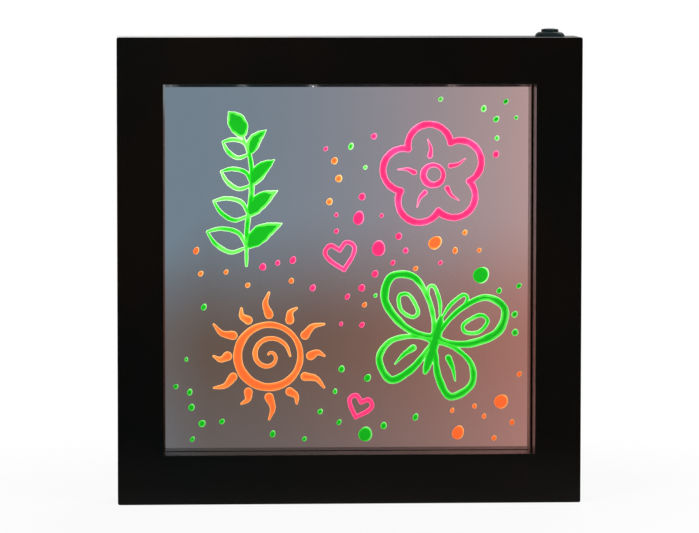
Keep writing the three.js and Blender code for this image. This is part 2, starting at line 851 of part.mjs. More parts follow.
// What is left between the plus contact and the last cell.
function plateGapToCell() {
  return fitGap / 2;
}

// The cone of wire that pushes the cells together.
function cellSpring() {
  const wire = cellSpringWire / 2;
  const start = bayLeftX + fitGap + plateThick + wire + fitGap / 2;
  const room = cellsLeftX - start - wire - fitGap / 2;
  const path = new CoilPath(cellSpringWide, cellSpringNarrow, room, cellSpringTurns);
  const coil = wireAlong(path, wire, coilSides, cellSpringTurns * coilSteps);
  return coil.rotateY(quarterTurn).translate(start, cellY, cellZ);
}

// The door over the cells, with a cup for the screw at each end and ribs that steady the cells.
function batteryDoor() {
  const outline = roundedRectangle(doorLength, doorHeight, doorCorner);
  let door = solidOf(extrudeBack(outline, seamY, backY).translate(0, 0, cellZ));
  const cupFrontY = backY - doorCupDepth - doorCupFloor;
  for (const x of [-doorScrewX, doorScrewX]) {
    const cup = roundProfile(doorCupRadius, cupFrontY, backY - rootDepth);
    door = door.add(solidOf(turnedBack(cup, postSides, x, cellZ)));
    const bore = [
      [0, cupFrontY - overrun],
      [screwRadius + fitGap, cupFrontY - overrun],
      [screwRadius + fitGap, backY - doorCupDepth],
      [screwHeadRadius + fitGap, backY - doorCupDepth],
      [screwHeadRadius + fitGap, backY + overrun],
      [0, backY + overrun],
    ];
    door = door.subtract(solidOf(turnedBack(bore, postSides, x, cellZ)));
  }
  for (const share of doorRibShares) {
    const x = share * cellsLength;
    const halfRib = cellRadius / 2;
    const rib = block(
      [x - doorRibThick / 2, seamY - doorRibReach, cellZ - halfRib],
      [x + doorRibThick / 2, seamY + rootDepth, cellZ + halfRib],
    );
    door = door.add(solidOf(rib));
  }
  return geometryOf(door);
}

// A lead that follows its route in one smooth curve.
function lead(route, radius) {
  const points = route.map(([x, y, z]) => new THREE.Vector3(x, y, z));
  const path = new THREE.CatmullRomCurve3(points, false, "centripetal");
  return wireAlong(path, radius, leadSides, leadSteps);
}

// Heights and depths that several leads share.
const padY = controlFrontY + leadRadius + fitGap;
const boardLowZ = controlHeight - controlLength / 2 + padInset;
const boardHighZ = controlHeight + controlLength / 2 - padInset;
const channelY = padY + leadPitch;
const floorZ = shellWall + leadPitch + fitGap + leadRadius;
const tabEndX = bayRightX + tabLength;
const lugEndZ = barrelBottomZ - lugOutside - fitGap - leadRadius;
const channelX = openHalfWidth + apertureWall + leadPitch;
const tabLeadY = tabY() - leadRadius - fitGap;

// The minus lead: from the left end of the bay along the bottom rail and up the right rail.
function blackLead() {
  return lead([
    [-tabEndX, tabLeadY, cellZ],
    [-tabEndX - leadPitch, bayFrontY - leadPitch, cellZ],
    [-tabEndX + leadPitch, bayFrontY - 2 * leadPitch, floorZ],
    [0, bayFrontY - 2 * leadPitch, floorZ],
    [tabEndX, bayFrontY - 2 * leadPitch, floorZ],
    [channelX, channelY, floorZ + leadPitch],
    [channelX + leadPitch, channelY, footWidth],
    [channelX + leadPitch, channelY, (footWidth + boardLowZ) / 2],
    [channelX + leadPitch, channelY, boardLowZ - 3 * leadPitch],
    [channelX + leadPitch, padY, boardLowZ],
  ], leadRadius);
}

// The plus lead: from the right end of the bay up the right rail.
function redLead() {
  return lead([
    [tabEndX, tabLeadY, cellZ],
    [tabEndX + 2 * leadPitch, bayFrontY - leadPitch, cellZ + leadPitch],
    [channelX - leadPitch / 2, channelY, footWidth - leadPitch],
    [channelX, channelY, footWidth + 2 * leadPitch],
    [channelX, channelY, (footWidth + boardLowZ) / 2],
    [channelX, channelY, boardLowZ - 3 * leadPitch],
    [channelX, padY, boardLowZ],
  ], leadRadius);
}

// The two leads from the switch down to the top of the control board.
function switchLead(side) {
  const y = (side * lugSpread) / 2;
  const endX = controlX + (side * leadPitch) / 2;
  const dropX = channelX + ledLeadRadius + leadRadius + fitGap;
  return lead([
    [buttonX, y, lugEndZ],
    [dropX, y - leadPitch / 2, lugEndZ - 2 * leadPitch],
    [dropX, y / 2 - leadPitch, lugEndZ - 6 * leadPitch],
    [(dropX + endX) / 2, channelY + (1 + side) * leadRadius, boardHighZ + 3 * leadPitch],
    [endX, padY, boardHighZ],
  ], leadRadius);
}

// The sleeved lead from the light strip down to the control board.
function ledLead() {
  const startX = stripLength / 2 - 2 * ledLeadRadius;
  const startY = panelY - stripWidth / 2 - ledLeadRadius;
  const startZ = shelfBottomZ - fitGap - ledLeadRadius;
  return lead([
    [startX - leadPitch, startY, startZ],
    [startX - leadPitch / 2, startY - leadPitch, startZ],
    [channelX, startY - 2 * leadPitch, startZ - leadPitch],
    [channelX, channelY, panelTopZ - 4 * leadPitch],
    [channelX, channelY, boardHighZ + 3 * leadPitch],
    [channelX + leadPitch / 2, padY + ledLeadRadius - leadRadius, boardHighZ],
  ], ledLeadRadius);
}

const board = new THREE.Group();

// Adds one named piece of the board with its colour and finish.
function add(name, geometry, color, roughness, metalness = 0) {
  const material = new THREE.MeshStandardMaterial({ color, roughness, metalness });
  const mesh = new THREE.Mesh(geometry, material);
  mesh.name = name;
  board.add(mesh);
}

const blackPlastic = 0x101011;
const buttonPlastic = 0x1c2424;
const clearPanel = 0xa9b4bd;
const boardGreen = 0x1f5a3a;
const chipBlack = 0x18181a;
const ledWhite = 0xf4f2ea;
const steel = 0xb9bcc0;
const brassLug = 0xc9a85a;
const cellGrey = 0x8a8f94;

add("front_frame", frontFrame(), blackPlastic, 0.35);
add("rear_cover", rearCover(), blackPlastic, 0.5);
add("acrylic_panel", acrylicPanel(), clearPanel, 0.05);
add("led_strip", ledStrip(), ledWhite, 0.6);
for (let index = 0; index < ledCount; index += 1) {
  const x = (index - (ledCount - 1) / 2) * ledPitch;
  add(`led_${index + 1}`, led(x), ledWhite, 0.3);
}

add("switch_body", switchBody(), buttonPlastic, 0.4);
add("switch_nut", switchNut(), steel, 0.3, 1);
add("button_cap", buttonCap(), buttonPlastic, 0.35);
add("button_plunger", buttonPlunger(), ledWhite, 0.5);
add("button_spring", buttonSpring(), steel, 0.3, 1);
add("switch_base", switchBase(), chipBlack, 0.6);
add("switch_lug_1", switchLug(-1), brassLug, 0.3, 1);
add("switch_lug_2", switchLug(1), brassLug, 0.3, 1);

add("control_board", controlBoard(), boardGreen, 0.6);
add("control_chip", controlChip(), chipBlack, 0.5);
add("filter_capacitor", filterCapacitor(), chipBlack, 0.4);
for (const [index, z] of controlScrewHeights().entries()) {
  const shape = screw(boardScrewSizes, controlFrontY, controlX, z);
  add(`board_screw_${index + 1}`, shape, steel, 0.3, 1);
}

for (let index = 0; index < cellCount; index += 1) {
  add(`battery_cell_${index + 1}`, batteryCell(index), cellGrey, 0.4);
}
add("negative_plate", geometryOf(contactPlate(-1)), steel, 0.3, 1);
add("positive_plate", positivePlate(), steel, 0.3, 1);
add("cell_spring", cellSpring(), steel, 0.3, 1);
add("battery_door", batteryDoor(), blackPlastic, 0.5);
for (const [index, x] of [-doorScrewX, doorScrewX].entries()) {
  const shape = screw(doorScrewSizes, backY - doorCupDepth, x, cellZ);
  add(`door_screw_${index + 1}`, shape, steel, 0.3, 1);
}
for (const [index, [x, z]] of postPlaces().entries()) {
  add(`case_screw_${index + 1}`, screw(caseScrewSizes, wellFloorY, x, z), steel, 0.3, 1);
}

add("black_lead", blackLead(), chipBlack, 0.5);
add("red_lead", redLead(), 0xb02020, 0.5);
add("switch_lead_1", switchLead(-1), ledWhite, 0.5);
add("switch_lead_2", switchLead(1), ledWhite, 0.5);
add("led_lead", ledLead(), ledWhite, 0.5);

export default board;
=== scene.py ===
import math
import random

import bmesh
import bpy
import numpy as np
from mathutils import Matrix, Vector


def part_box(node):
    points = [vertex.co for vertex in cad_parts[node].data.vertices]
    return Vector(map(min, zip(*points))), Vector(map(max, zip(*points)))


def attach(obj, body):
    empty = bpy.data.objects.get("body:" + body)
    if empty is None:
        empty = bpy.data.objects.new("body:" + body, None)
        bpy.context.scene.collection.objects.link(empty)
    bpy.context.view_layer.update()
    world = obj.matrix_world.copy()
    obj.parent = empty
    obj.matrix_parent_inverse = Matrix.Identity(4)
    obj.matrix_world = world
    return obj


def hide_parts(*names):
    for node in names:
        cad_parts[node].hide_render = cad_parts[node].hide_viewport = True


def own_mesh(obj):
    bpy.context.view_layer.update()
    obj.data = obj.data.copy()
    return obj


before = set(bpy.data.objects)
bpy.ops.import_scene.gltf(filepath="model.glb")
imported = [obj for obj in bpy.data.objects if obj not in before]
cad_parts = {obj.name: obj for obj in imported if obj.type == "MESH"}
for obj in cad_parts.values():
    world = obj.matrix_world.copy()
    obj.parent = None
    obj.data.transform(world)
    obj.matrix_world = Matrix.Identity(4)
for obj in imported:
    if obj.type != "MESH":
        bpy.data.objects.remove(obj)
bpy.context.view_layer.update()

mm = 0.001
full_turn = 2 * math.pi
quarter_turn = math.pi / 2


def corners(node):
    """The lowest and the highest corner of one of the model's nodes."""
    return [Vector(corner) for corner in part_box(node)]


def at_turn(radius, turn):
    """A point on a circle, as across and up."""
    return radius * math.cos(turn), radius * math.sin(turn)


def added(name, data):
    """A new object in the scene, at the origin."""
    made = bpy.data.objects.new(name, data)
    bpy.context.scene.collection.objects.link(made)
    return made


# The camera, as a real place, aim and lens
camera_place = Vector((-128.2 * mm, -2287.6 * mm, 307.0 * mm))
camera_yaw = 0.05627
camera_pitch = -0.07837
camera_roll = 0.00106
camera_lens_mm = 218.57
sensor_width_mm = 36
camera_near, camera_far = 0.05, 50


def make_camera():
    data = bpy.data.cameras.new("camera")
    data.sensor_width = sensor_width_mm
    data.lens = camera_lens_mm
    data.clip_start = camera_near
    data.clip_end = camera_far
    camera = added("camera", data)
    flat = math.cos(camera_pitch)
    aim = Vector((flat * math.sin(camera_yaw), flat * math.cos(camera_yaw), math.sin(camera_pitch)))
    level = aim.to_track_quat("-Z", "Y").to_matrix()
    camera.rotation_euler = (level @ Matrix.Rotation(camera_roll, 3, "Z")).to_euler()
    camera.location = camera_place
    bpy.context.scene.camera = camera


# Places and sizes read from the model
panel_low, panel_high = corners("acrylic_panel")
case_low, case_high = corners("front_frame")
led_nodes = [f"led_{number}" for number in range(1, 7)]
led_boxes = [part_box(node) for node in led_nodes]
led_places = [(low[0] + high[0]) / 2 for low, high in led_boxes]
board_height = case_high.z - case_low.z
panel_front = panel_low.y
middle_height = (panel_low.z + panel_high.z) / 2

# The opening round the panel, and the lip behind the panel that hides the lights
slot_depth = 4 * mm
open_half = panel_high.x - slot_depth
open_top = panel_high.z - slot_depth
lip_drop = 2.5 * mm
lip_front = panel_high.y + 0.25 * mm
lip_half = open_half - 1.1 * mm

# The range that soft noise keeps to
noise_low, noise_high = 0.3, 0.7


# Finishes
def tint(red, green, blue):
    """A screen colour, from 0 to 255, as the light values that a shader takes."""
    shares = (level / 255 for level in (red, green, blue))
    light = (
        share / 12.92 if share <= 0.04045 else ((share + 0.055) / 1.055) ** 2.4 for share in shares
    )
    return (*light, 1)


class Nodes:
    """A node tree and short ways to add to it."""

    def __init__(self, tree):
        self.tree = tree
        tree.nodes.clear()

    def node(self, kind, inputs=None, **settings):
        """A new node. An input takes a socket, a plain value or a list of sockets."""
        made = self.tree.nodes.new(kind)
        for key, value in settings.items():
            setattr(made, key, value)
        for key, value in (inputs or {}).items():
            for item in value if isinstance(value, list) else [value]:
                if isinstance(item, bpy.types.NodeSocket):
                    self.tree.links.new(item, made.inputs[key])
                else:
                    made.inputs[key].default_value = item
        return made

    def first(self, kind, inputs=None, **settings):
        """The first output of a new node."""
        return self.node(kind, inputs, **settings).outputs[0]

    def maths(self, operation, first, second=0.0, third=0.0, clamp=False):
        inputs = {0: first, 1: second, 2: third}
        return self.first("ShaderNodeMath", inputs, operation=operation, use_clamp=clamp)

    def plus(self, first, second):
        return self.maths("ADD", first, second)

    def times(self, first, *others):
        for other in others:
            first = self.maths("MULTIPLY", first, other)
        return first

    def most(self, first, second):
        return self.maths("MAXIMUM", first, second)

    def distance(self, value, place):
        return self.maths("ABSOLUTE", self.maths("SUBTRACT", value, place))

    def length(self, vector):
        return self.node("ShaderNodeVectorMath", {0: vector}, operation="LENGTH").outputs["Value"]

    def spread(self, value, low, high, out_low=0.0, out_high=1.0, smooth=False):
        """Maps a range of values to another one, and holds it at the ends."""
        inputs = {0: value, 1: low, 2: high, 3: out_low, 4: out_high}
        kind = "SMOOTHSTEP" if smooth else "LINEAR"
        return self.first("ShaderNodeMapRange", inputs, interpolation_type=kind)

    def fade(self, value, near, far, level=1.0, smooth=False):
        """A level that falls to nothing from a near value to a far one."""
        return self.spread(value, near, far, level, 0.0, smooth)

    def shade(self, noise, low=0.0, high=1.0):
        """Soft noise brought to another range."""
        return self.spread(noise, noise_low, noise_high, low, high)

    def mix(self, factor, first, second, blend="MIX"):
        """A mix of two colours, each of them a socket or a screen colour."""
        first, second = (tint(*c) if isinstance(c, tuple) else c for c in (first, second))
        inputs = {0: factor, 6: first, 7: second}
        return self.node("ShaderNodeMix", inputs, data_type="RGBA", blend_type=blend).outputs[2]

    def apart(self, vector):
        """The x, y and z of a vector."""
        return self.node("ShaderNodeSeparateXYZ", {"Vector": vector}).outputs[:]


class Finish(Nodes):
    """One material and the nodes that it is made of."""

    def __init__(self, name):
        self.material = bpy.data.materials.new(name)
        self.material.use_nodes = True
        super().__init__(self.material.node_tree)
        self.place = self.node("ShaderNodeTexCoord").outputs["Object"]

    def axes(self):
        return self.apart(self.place)

    def noise(self, size, detail=3.0, stretch=(1, 1, 1)):
        """Soft noise whose patches are about one size across, stretched along the axes."""
        place = self.first("ShaderNodeMapping", {"Vector": self.place, "Scale": stretch})
        inputs = {"Vector": place, "Scale": 1 / size, "Detail": detail}
        return self.first("ShaderNodeTexNoise", inputs)

    def swayed(self, value, noise, swing):
        """A value that noise moves up and down."""
        return self.maths("MULTIPLY_ADD", self.maths("SUBTRACT", noise, 0.5), swing, value)

    def attribute(self, name):
        return self.node("ShaderNodeAttribute", attribute_name=name).outputs["Fac"]

    def bump(self, height, depth, strength=1.0):
        inputs = {"Height": height, "Distance": depth, "Strength": strength}
        return self.first("ShaderNodeBump", inputs)

    def surface(self, colour, roughness, others=None):
        inputs = {"Base Color": colour, "Roughness": roughness} | (others or {})
        shader = self.first("ShaderNodeBsdfPrincipled", inputs)
        self.node("ShaderNodeOutputMaterial", {"Surface": shader})
        return self.material


def moulded(
    name, dark, light, roughness, patch, grain=0.3 * mm, depth=0.01 * mm, shine=0.5,
    walls=None, glow=None,
):
    """Moulded plastic: two near shades in soft patches, a fine grain and an uneven gloss. The walls
    of the panel's opening may have a roughness of their own."""
    finish = Finish(name)
    patches = finish.spread(finish.noise(patch), 0.35, 0.65)
    fine = finish.noise(grain, detail=5.0)
    pits = finish.noise(grain * 9, detail=2.0)
    relief = finish.maths("MULTIPLY_ADD", pits, 0.4, fine)
    if walls:
        x, _, z = finish.axes()
        out = finish.most(finish.maths("ABSOLUTE", x), finish.distance(z, middle_height))
        wall_end, face_start = open_half + 0.2 * mm, open_half + 0.3 * mm
        roughness = finish.spread(out, wall_end, face_start, walls, roughness)
    uneven = finish.shade(finish.noise(patch / 6), -0.04, 0.05)
    others = {"Specular IOR Level": shine, "Normal": finish.bump(relief, depth)}
    if glow:
        others |= glow(finish)
    return finish.surface(finish.mix(patches, dark, light), finish.plus(uneven, roughness), others)


def metal(name, dark, light, roughness):
    """Plated or stamped metal: fine rolling lines, faint clouds and an uneven polish."""
    finish = Finish(name)
    clouds = finish.shade(finish.noise(6 * mm))
    lines = finish.noise(0.4 * mm, detail=4.0, stretch=(1, 0.12, 1))
    polish = finish.shade(lines, roughness - 0.07, roughness + 0.1)
    relief = finish.bump(lines, 0.01 * mm, strength=0.5)
    return finish.surface(
        finish.mix(clouds, dark, light), polish, {"Metallic": 1.0, "Normal": relief},
    )


# How strongly each light shows on the lip behind the panel, from the left one to the right one,
# and how strong the fading line at its left side and the faint one at its right side are
spill_shares = (0.4, 0.32, 0.45, 0.04, 0.34, 0.09)
left_foot, left_middle, left_top = 0.04, 0.25, 0.25
right_share = 0.08
point_share = 2.0
spill_strength = 2.2


def edge_spill(finish):
    """The light that the lip behind the panel catches: streaky spots under the lights with one
    bright point, a line down its left side that fades, and a fainter one on its right edge."""
    x, y, z = finish.axes()
    edge = open_top - lip_drop
    under_top = finish.spread(z, edge - 1 * mm, edge)
    spots = 0.0
    for place, share in zip(led_places, spill_shares):
        spot = finish.fade(finish.distance(x, place), 0.5 * mm, 5 * mm, share, smooth=True)
        spots = finish.plus(spot, spots)
    streaks = finish.spread(finish.noise(1.6 * mm, detail=2.0), 0.4, 0.65, 0.25, 1.0)
    brightest = led_places[spill_shares.index(max(spill_shares))]
    point = finish.fade(finish.distance(x, brightest), 0.25 * mm, 0.6 * mm, point_share)
    near_edge = finish.fade(z, edge + 0.5 * mm, edge + 0.9 * mm)
    spots = finish.most(
        finish.times(spots, streaks, under_top), finish.times(point, near_edge, under_top),
    )
    height = finish.spread(z, open_top - 2 * open_half, open_top)
    left = finish.fade(x, 1 * mm - open_half, 2.5 * mm - open_half)
    fading = finish.plus(
        finish.spread(height, 0.05, 0.35, left_foot, left_middle),
        finish.spread(height, 0.9, 0.96, 0.0, left_top),
    )
    right = finish.fade(finish.distance(x, lip_half), 0.5 * mm, 0.6 * mm, right_share)
    line = finish.plus(finish.times(left, fading), right)
    facing = finish.fade(y, lip_front, lip_front + 1.5 * mm)
    warmth = finish.most(
        finish.spread(height, 0.88, 0.96, smooth=True), finish.spread(x, 0, 50 * mm),
    )
    return {
        "Emission Color": finish.mix(warmth, (255, 172, 140), (255, 236, 216)),
        "Emission Strength": finish.times(facing, finish.most(spots, line), spill_strength),
    }


def lit_acrylic():
    """Clear acrylic with a soft smoky tint, and painted light in its colour: cool at the upper
    left, brown below, rose to the right."""
    finish = Finish("edge-lit acrylic")
    x, _, z = finish.axes()
    # The colour slopes below are painted light laid over the smoky tint.
    across = finish.spread(x, -open_half, open_half)
    up = finish.spread(z, middle_height - open_half, middle_height + open_half)
    cloud = finish.noise(70 * mm, detail=2.0)
    horizon = finish.spread(finish.swayed(up, cloud, 0.1), 0.28, 0.68, smooth=True)
    foot = finish.fade(up, 0.0, 0.25, 0.2)
    left_edge = finish.fade(across, 0.0, 0.12, 0.23)
    cool = finish.maths("ADD", finish.most(horizon, foot), left_edge, clamp=True)
    left_side = finish.mix(cool, (101, 86, 77), (116, 132, 145))
    right_side = finish.mix(cool, (172, 118, 108), (184, 153, 151))
    smoke_and_painted_light = finish.mix(finish.maths("POWER", across, 2.2), left_side, right_side)
    greys = finish.mix(cloud, (60, 60, 60), (200, 200, 200))
    wipes = finish.noise(9 * mm, detail=4.0, stretch=(1, 1, 0.25))
    smoke_and_painted_light = finish.mix(0.05, smoke_and_painted_light, greys, "OVERLAY")
    gloss = finish.spread(wipes, 0.35, 0.75, 0.0, 0.03)
    return finish.surface(smoke_and_painted_light, gloss, {"Transmission Weight": 1.0, "IOR": 1.49})


def marker_ink(name, core, body, pale, rim):
    """Luminous marker: a deep streak along the pen's path, a bright body that pales in patches
    towards the lights, and a thin glowing rim. The glow, the paling and the brighter rim near the
    lights are painted light from the edge lights."""
    finish = Finish(name)
    _, _, z = finish.axes()
    inset = finish.attribute("inset")
    streak = finish.noise(1.4 * mm, detail=3.0)
    patches = finish.noise(16 * mm, detail=2.0)
    near_lights = finish.spread(z, middle_height - open_half, open_top, 0.1, 1.0)
    rim = finish.mix(finish.spread(near_lights, 0.1, 0.8, 0.35, 1.0), body, rim)
    painted_lift = finish.times(finish.spread(patches, 0.42, 0.62, smooth=True), near_lights)
    depth = finish.swayed(inset, streak, 0.5 * mm)
    core_from = finish.spread(painted_lift, 0.0, 1.0, 0.75 * mm, 1.7 * mm)
    to_core = finish.spread(depth, core_from, finish.plus(core_from, 0.6 * mm), smooth=True)
    body_from = finish.spread(painted_lift, 0.0, 1.0, 0.16 * mm, 0.42 * mm)
    to_body = finish.spread(inset, body_from, finish.plus(body_from, 0.3 * mm), smooth=True)
    mid = finish.mix(finish.times(painted_lift, 0.8), body, pale)
    colour = finish.mix(to_core, finish.mix(to_body, rim, mid), core)
    # The emission is painted light from the edge lights, stronger near them.
    return finish.surface(colour, finish.shade(streak, 0.35, 0.55), {
        "Specular IOR Level": 0.3,
        "Emission Color": colour,
        "Emission Strength": finish.spread(near_lights, 0.1, 0.8, 0.42, 0.58),
        "Normal": finish.bump(streak, 0.05 * mm),
    })


def strip_board():
    """White solder mask with copper pads that show beside each light."""
    finish = Finish("white light strip")
    x, _, _ = finish.axes()
    half_pitch = (led_places[1] - led_places[0]) / 2
    pad_place, pad_half = 6 * mm, 1.2 * mm
    beside = finish.maths("ABSOLUTE", finish.maths("WRAP", x, half_pitch, -half_pitch))
    pads = finish.maths("COMPARE", beside, pad_place, pad_half)
    mask = finish.mix(finish.noise(3 * mm), (232, 231, 226), (243, 243, 240))
    matt = finish.shade(finish.noise(0.5 * mm), 0.35, 0.5)
    colour = finish.mix(pads, mask, (196, 142, 92))
    return finish.surface(colour, matt, {"Metallic": finish.times(pads, 0.9)})


def led_phosphor():
    finish = Finish("lit phosphor")
    grain = finish.noise(0.25 * mm, detail=4.0)
    glow = finish.mix(grain, (255, 238, 180), (255, 250, 222))
    light = {"Emission Color": glow, "Emission Strength": 2.5}
    return finish.surface(glow, finish.shade(grain, 0.25, 0.4), light)


def circuit_mask():
    """Green solder mask with paler tracks that run up the board and across it."""
    finish = Finish("green circuit board")
    tracks = finish.node("ShaderNodeTexBrick", {
        "Vector": finish.place, "Scale": 160.0, "Mortar Size": 0.06,
        "Brick Width": 0.9, "Row Height": 0.35,
    }).outputs["Fac"]
    mask = finish.mix(finish.noise(4 * mm), (18, 74, 42), (26, 92, 54))
    colour = finish.mix(tracks, mask, (62, 138, 84))
    gloss = finish.shade(finish.noise(0.6 * mm), 0.25, 0.4)
    return finish.surface(colour, gloss, {"Normal": finish.bump(tracks, 0.03 * mm)})


def cell_sleeve():
    """A plain two-tone sleeve over a steel can, from the share of the cell's length."""
    finish = Finish("cell sleeve")
    along = finish.attribute("along")
    clouds = finish.noise(5 * mm)
    band_from, sleeve_middle, sleeve_half = 0.74, 0.5, 0.478
    band = finish.spread(along, band_from, band_from + 0.002)
    sleeve = finish.mix(band, (52, 56, 62), (168, 120, 72))
    sleeved = finish.maths("COMPARE", along, sleeve_middle, sleeve_half)
    can = finish.mix(clouds, (170, 172, 176), (196, 198, 202))
    metallic = finish.spread(sleeved, 0.0, 1.0, 1.0, 0.35)
    colour = finish.mix(sleeved, can, sleeve)
    return finish.surface(colour, finish.shade(clouds, 0.28, 0.4), {"Metallic": metallic})


# Pieces made in mesh code
def link(name, mesh, body, *nodes, slot=None):
    """Puts a finished mesh on a body as a piece, in the place of the nodes that it stands for."""
    piece = added(name, mesh)
    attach(piece, body)
    if nodes:
        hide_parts(*nodes)
    return piece


def shaded(mesh, sharp_degrees=35):
    mesh.polygons.foreach_set("use_smooth", [True] * len(mesh.polygons))
    mesh.set_sharp_from_angle(angle=math.radians(sharp_degrees))
    return mesh


def measured(mesh, name, numbers):
    """Gives each point of a mesh a number to go by."""
    mesh.attributes.new(name, "FLOAT", "POINT").data.foreach_set("value", numbers)


def turned(name, profile, sides, to_place, material):
    """A mesh turned from (radius, height) points about an upright axis, then put in its place."""
    ring = profile[0] == profile[-1]
    points = profile[:-1] if ring else profile
    work = bmesh.new()
    columns = []
    for radius, height in points:
        count = 1 if radius == 0 else sides
        turns = (full_turn * side / sides for side in range(count))
        columns.append([work.verts.new((*at_turn(radius, turn), height)) for turn in turns])
    pairs = list(zip(columns, columns[1:])) + ([(columns[-1], columns[0])] if ring else [])
    for low, high in pairs:
        for side in range(sides):
            after = (side + 1) % sides
            around = [row[at % len(row)] for row, at in (
                (low, side), (low, after), (high, after), (high, side),
            )]
            face = list(dict.fromkeys(around))
            if len(face) > 2:
                work.faces.new(face)
    bmesh.ops.transform(work, matrix=to_place, verts=work.verts)
    bmesh.ops.recalc_face_normals(work, faces=work.faces)
    mesh = bpy.data.meshes.new(name)
    work.to_mesh(mesh)
    work.free()
    mesh.materials.append(material)
    return shaded(mesh)


def round_over(centre_radius, centre_height, radius, start, end, steps=6):
    """Points on a round edge, as (radius, height), from one angle to another in degrees."""
    turns = (math.radians(start + (end - start) * step / steps) for step in range(steps + 1))
    return [
        (centre_radius + radius * math.cos(turn), centre_height + radius * math.sin(turn))
        for turn in turns
    ]


def plain_mesh(carrier, name):
    """What an object's modifiers make, as a plain mesh, and the object goes."""
    graph = bpy.context.evaluated_depsgraph_get()
    mesh = bpy.data.meshes.new_from_object(
        carrier.evaluated_get(graph), preserve_all_data_layers=True, depsgraph=graph,
    )
    bpy.data.objects.remove(carrier)
    mesh.name = name
    return shaded(mesh)


def smooth_lead(name, node, slot, material):
    """A merged and smoothed copy of one of the model's leads, which it stands for."""
    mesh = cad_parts[node].data.copy()
    mesh.materials.clear()
    work = bmesh.new()
    work.from_mesh(mesh)
    bmesh.ops.remove_doubles(work, verts=work.verts, dist=0.001 * mm)
    work.to_mesh(mesh)
    work.free()
    rough = added(f"{name}_rough", mesh)
    subdivide = rough.modifiers.new("smooth", "SUBSURF")
    subdivide.levels = subdivide.render_levels = 2
    fine = plain_mesh(rough, name)
    fine.materials.append(material)
    link(name, fine, "case", node, slot=slot)


# Pieces that Geometry Nodes repeat or run along a path
class Pattern(Nodes):
    """A Geometry Nodes tree with named inputs, which starts from points."""

    def __init__(self, name):
        super().__init__(bpy.data.node_groups.new(name, "GeometryNodeTree"))
        self.tree.interface.new_socket(
            name="Geometry", in_out="OUTPUT", socket_type="NodeSocketGeometry",
        )
        self.start = self.input("Geometry", "Geometry")

    def input(self, name, kind="Float"):
        self.tree.interface.new_socket(name=name, in_out="INPUT", socket_type=f"NodeSocket{kind}")
        return self.node("NodeGroupInput").outputs[name]

    def vector(self, x=0.0, y=0.0, z=0.0):
        return self.first("ShaderNodeCombineXYZ", {"X": x, "Y": y, "Z": z})

    def moved(self, geometry, height=0.0, turn=(0, 0, 0)):
        inputs = {"Geometry": geometry, "Translation": self.vector(z=height), "Rotation": turn}
        return self.first("GeometryNodeTransform", inputs)

    def painted(self, geometry, material):
        return self.first("GeometryNodeSetMaterial", {"Geometry": geometry, "Material": material})

    def random(self, low, high, seed):
        """A number or a vector of its own for each instance."""
        kind = "FLOAT_VECTOR" if isinstance(low, tuple) else "FLOAT"
        inputs = {"Min": low, "Max": high, "Seed": seed}
        made = self.node("FunctionNodeRandomValue", inputs, data_type=kind)
        return made.outputs["Value"]

    def known(self, name):
        return self.first("GeometryNodeInputNamedAttribute", {"Name": name})

    def marked(self, geometry, name, value):
        inputs = {"Geometry": geometry, "Name": name, "Value": value}
        return self.first("GeometryNodeStoreNamedAttribute", inputs, domain="POINT")

    def boolean(self, operation, *parts, cut_from=None):
        inputs = {"Mesh 2": list(parts)} | ({"Mesh 1": cut_from} if cut_from else {})
        return self.first("GeometryNodeMeshBoolean", inputs, operation=operation)

    def wound(self, turns, start, end, height, wire, steps, sides):
        """A round wire wound about an upright axis."""
        spiral = self.first("GeometryNodeCurveSpiral", {
            "Resolution": steps, "Rotations": turns, "Start Radius": start, "End Radius": end,
            "Height": height,
        })
        circle = {"Resolution": sides, "Radius": wire}
        ring = self.first("GeometryNodeCurvePrimitiveCircle", circle, mode="RADIUS")
        inputs = {"Curve": spiral, "Profile Curve": ring, "Fill Caps": True}
        return self.first("GeometryNodeCurveToMesh", inputs)

    def on_points(self, piece, turn=(0, 0, 0), size=(1, 1, 1)):
        """An instance of a piece on each point that the tree starts from."""
        inputs = {"Points": self.start, "Instance": piece, "Rotation": turn, "Scale": size}
        return self.first("GeometryNodeInstanceOnPoints", inputs)

    def real(self, instances):
        return self.first("GeometryNodeRealizeInstances", {"Geometry": instances})

    def end(self, geometry, material=None):
        """Realizes the instances, gives them their material and closes the tree."""
        real = self.real(geometry)
        last = self.painted(real, material) if material else real
        self.node("NodeGroupOutput", {"Geometry": last})
        return self


def grown(name, pattern, places, values, body, *nodes, slot=None, radii=None):
    """Runs a tree on points and puts what it makes on a body as a piece."""
    start = bpy.data.meshes.new(f"{name}_points")
    start.from_pydata([tuple(place) for place in places], [], [])
    if radii:
        measured(start, "dot_radius", radii)
    carrier = added(f"{name}_carrier", start)
    modifier = carrier.modifiers.new("pattern", "NODES")
    modifier.node_group = pattern.tree
    for socket in pattern.tree.interface.items_tree:
        if socket.in_out == "INPUT" and socket.name in values:
            modifier[socket.identifier] = values[socket.name]
    return link(name, plain_mesh(carrier, name), body, *nodes, slot=slot)


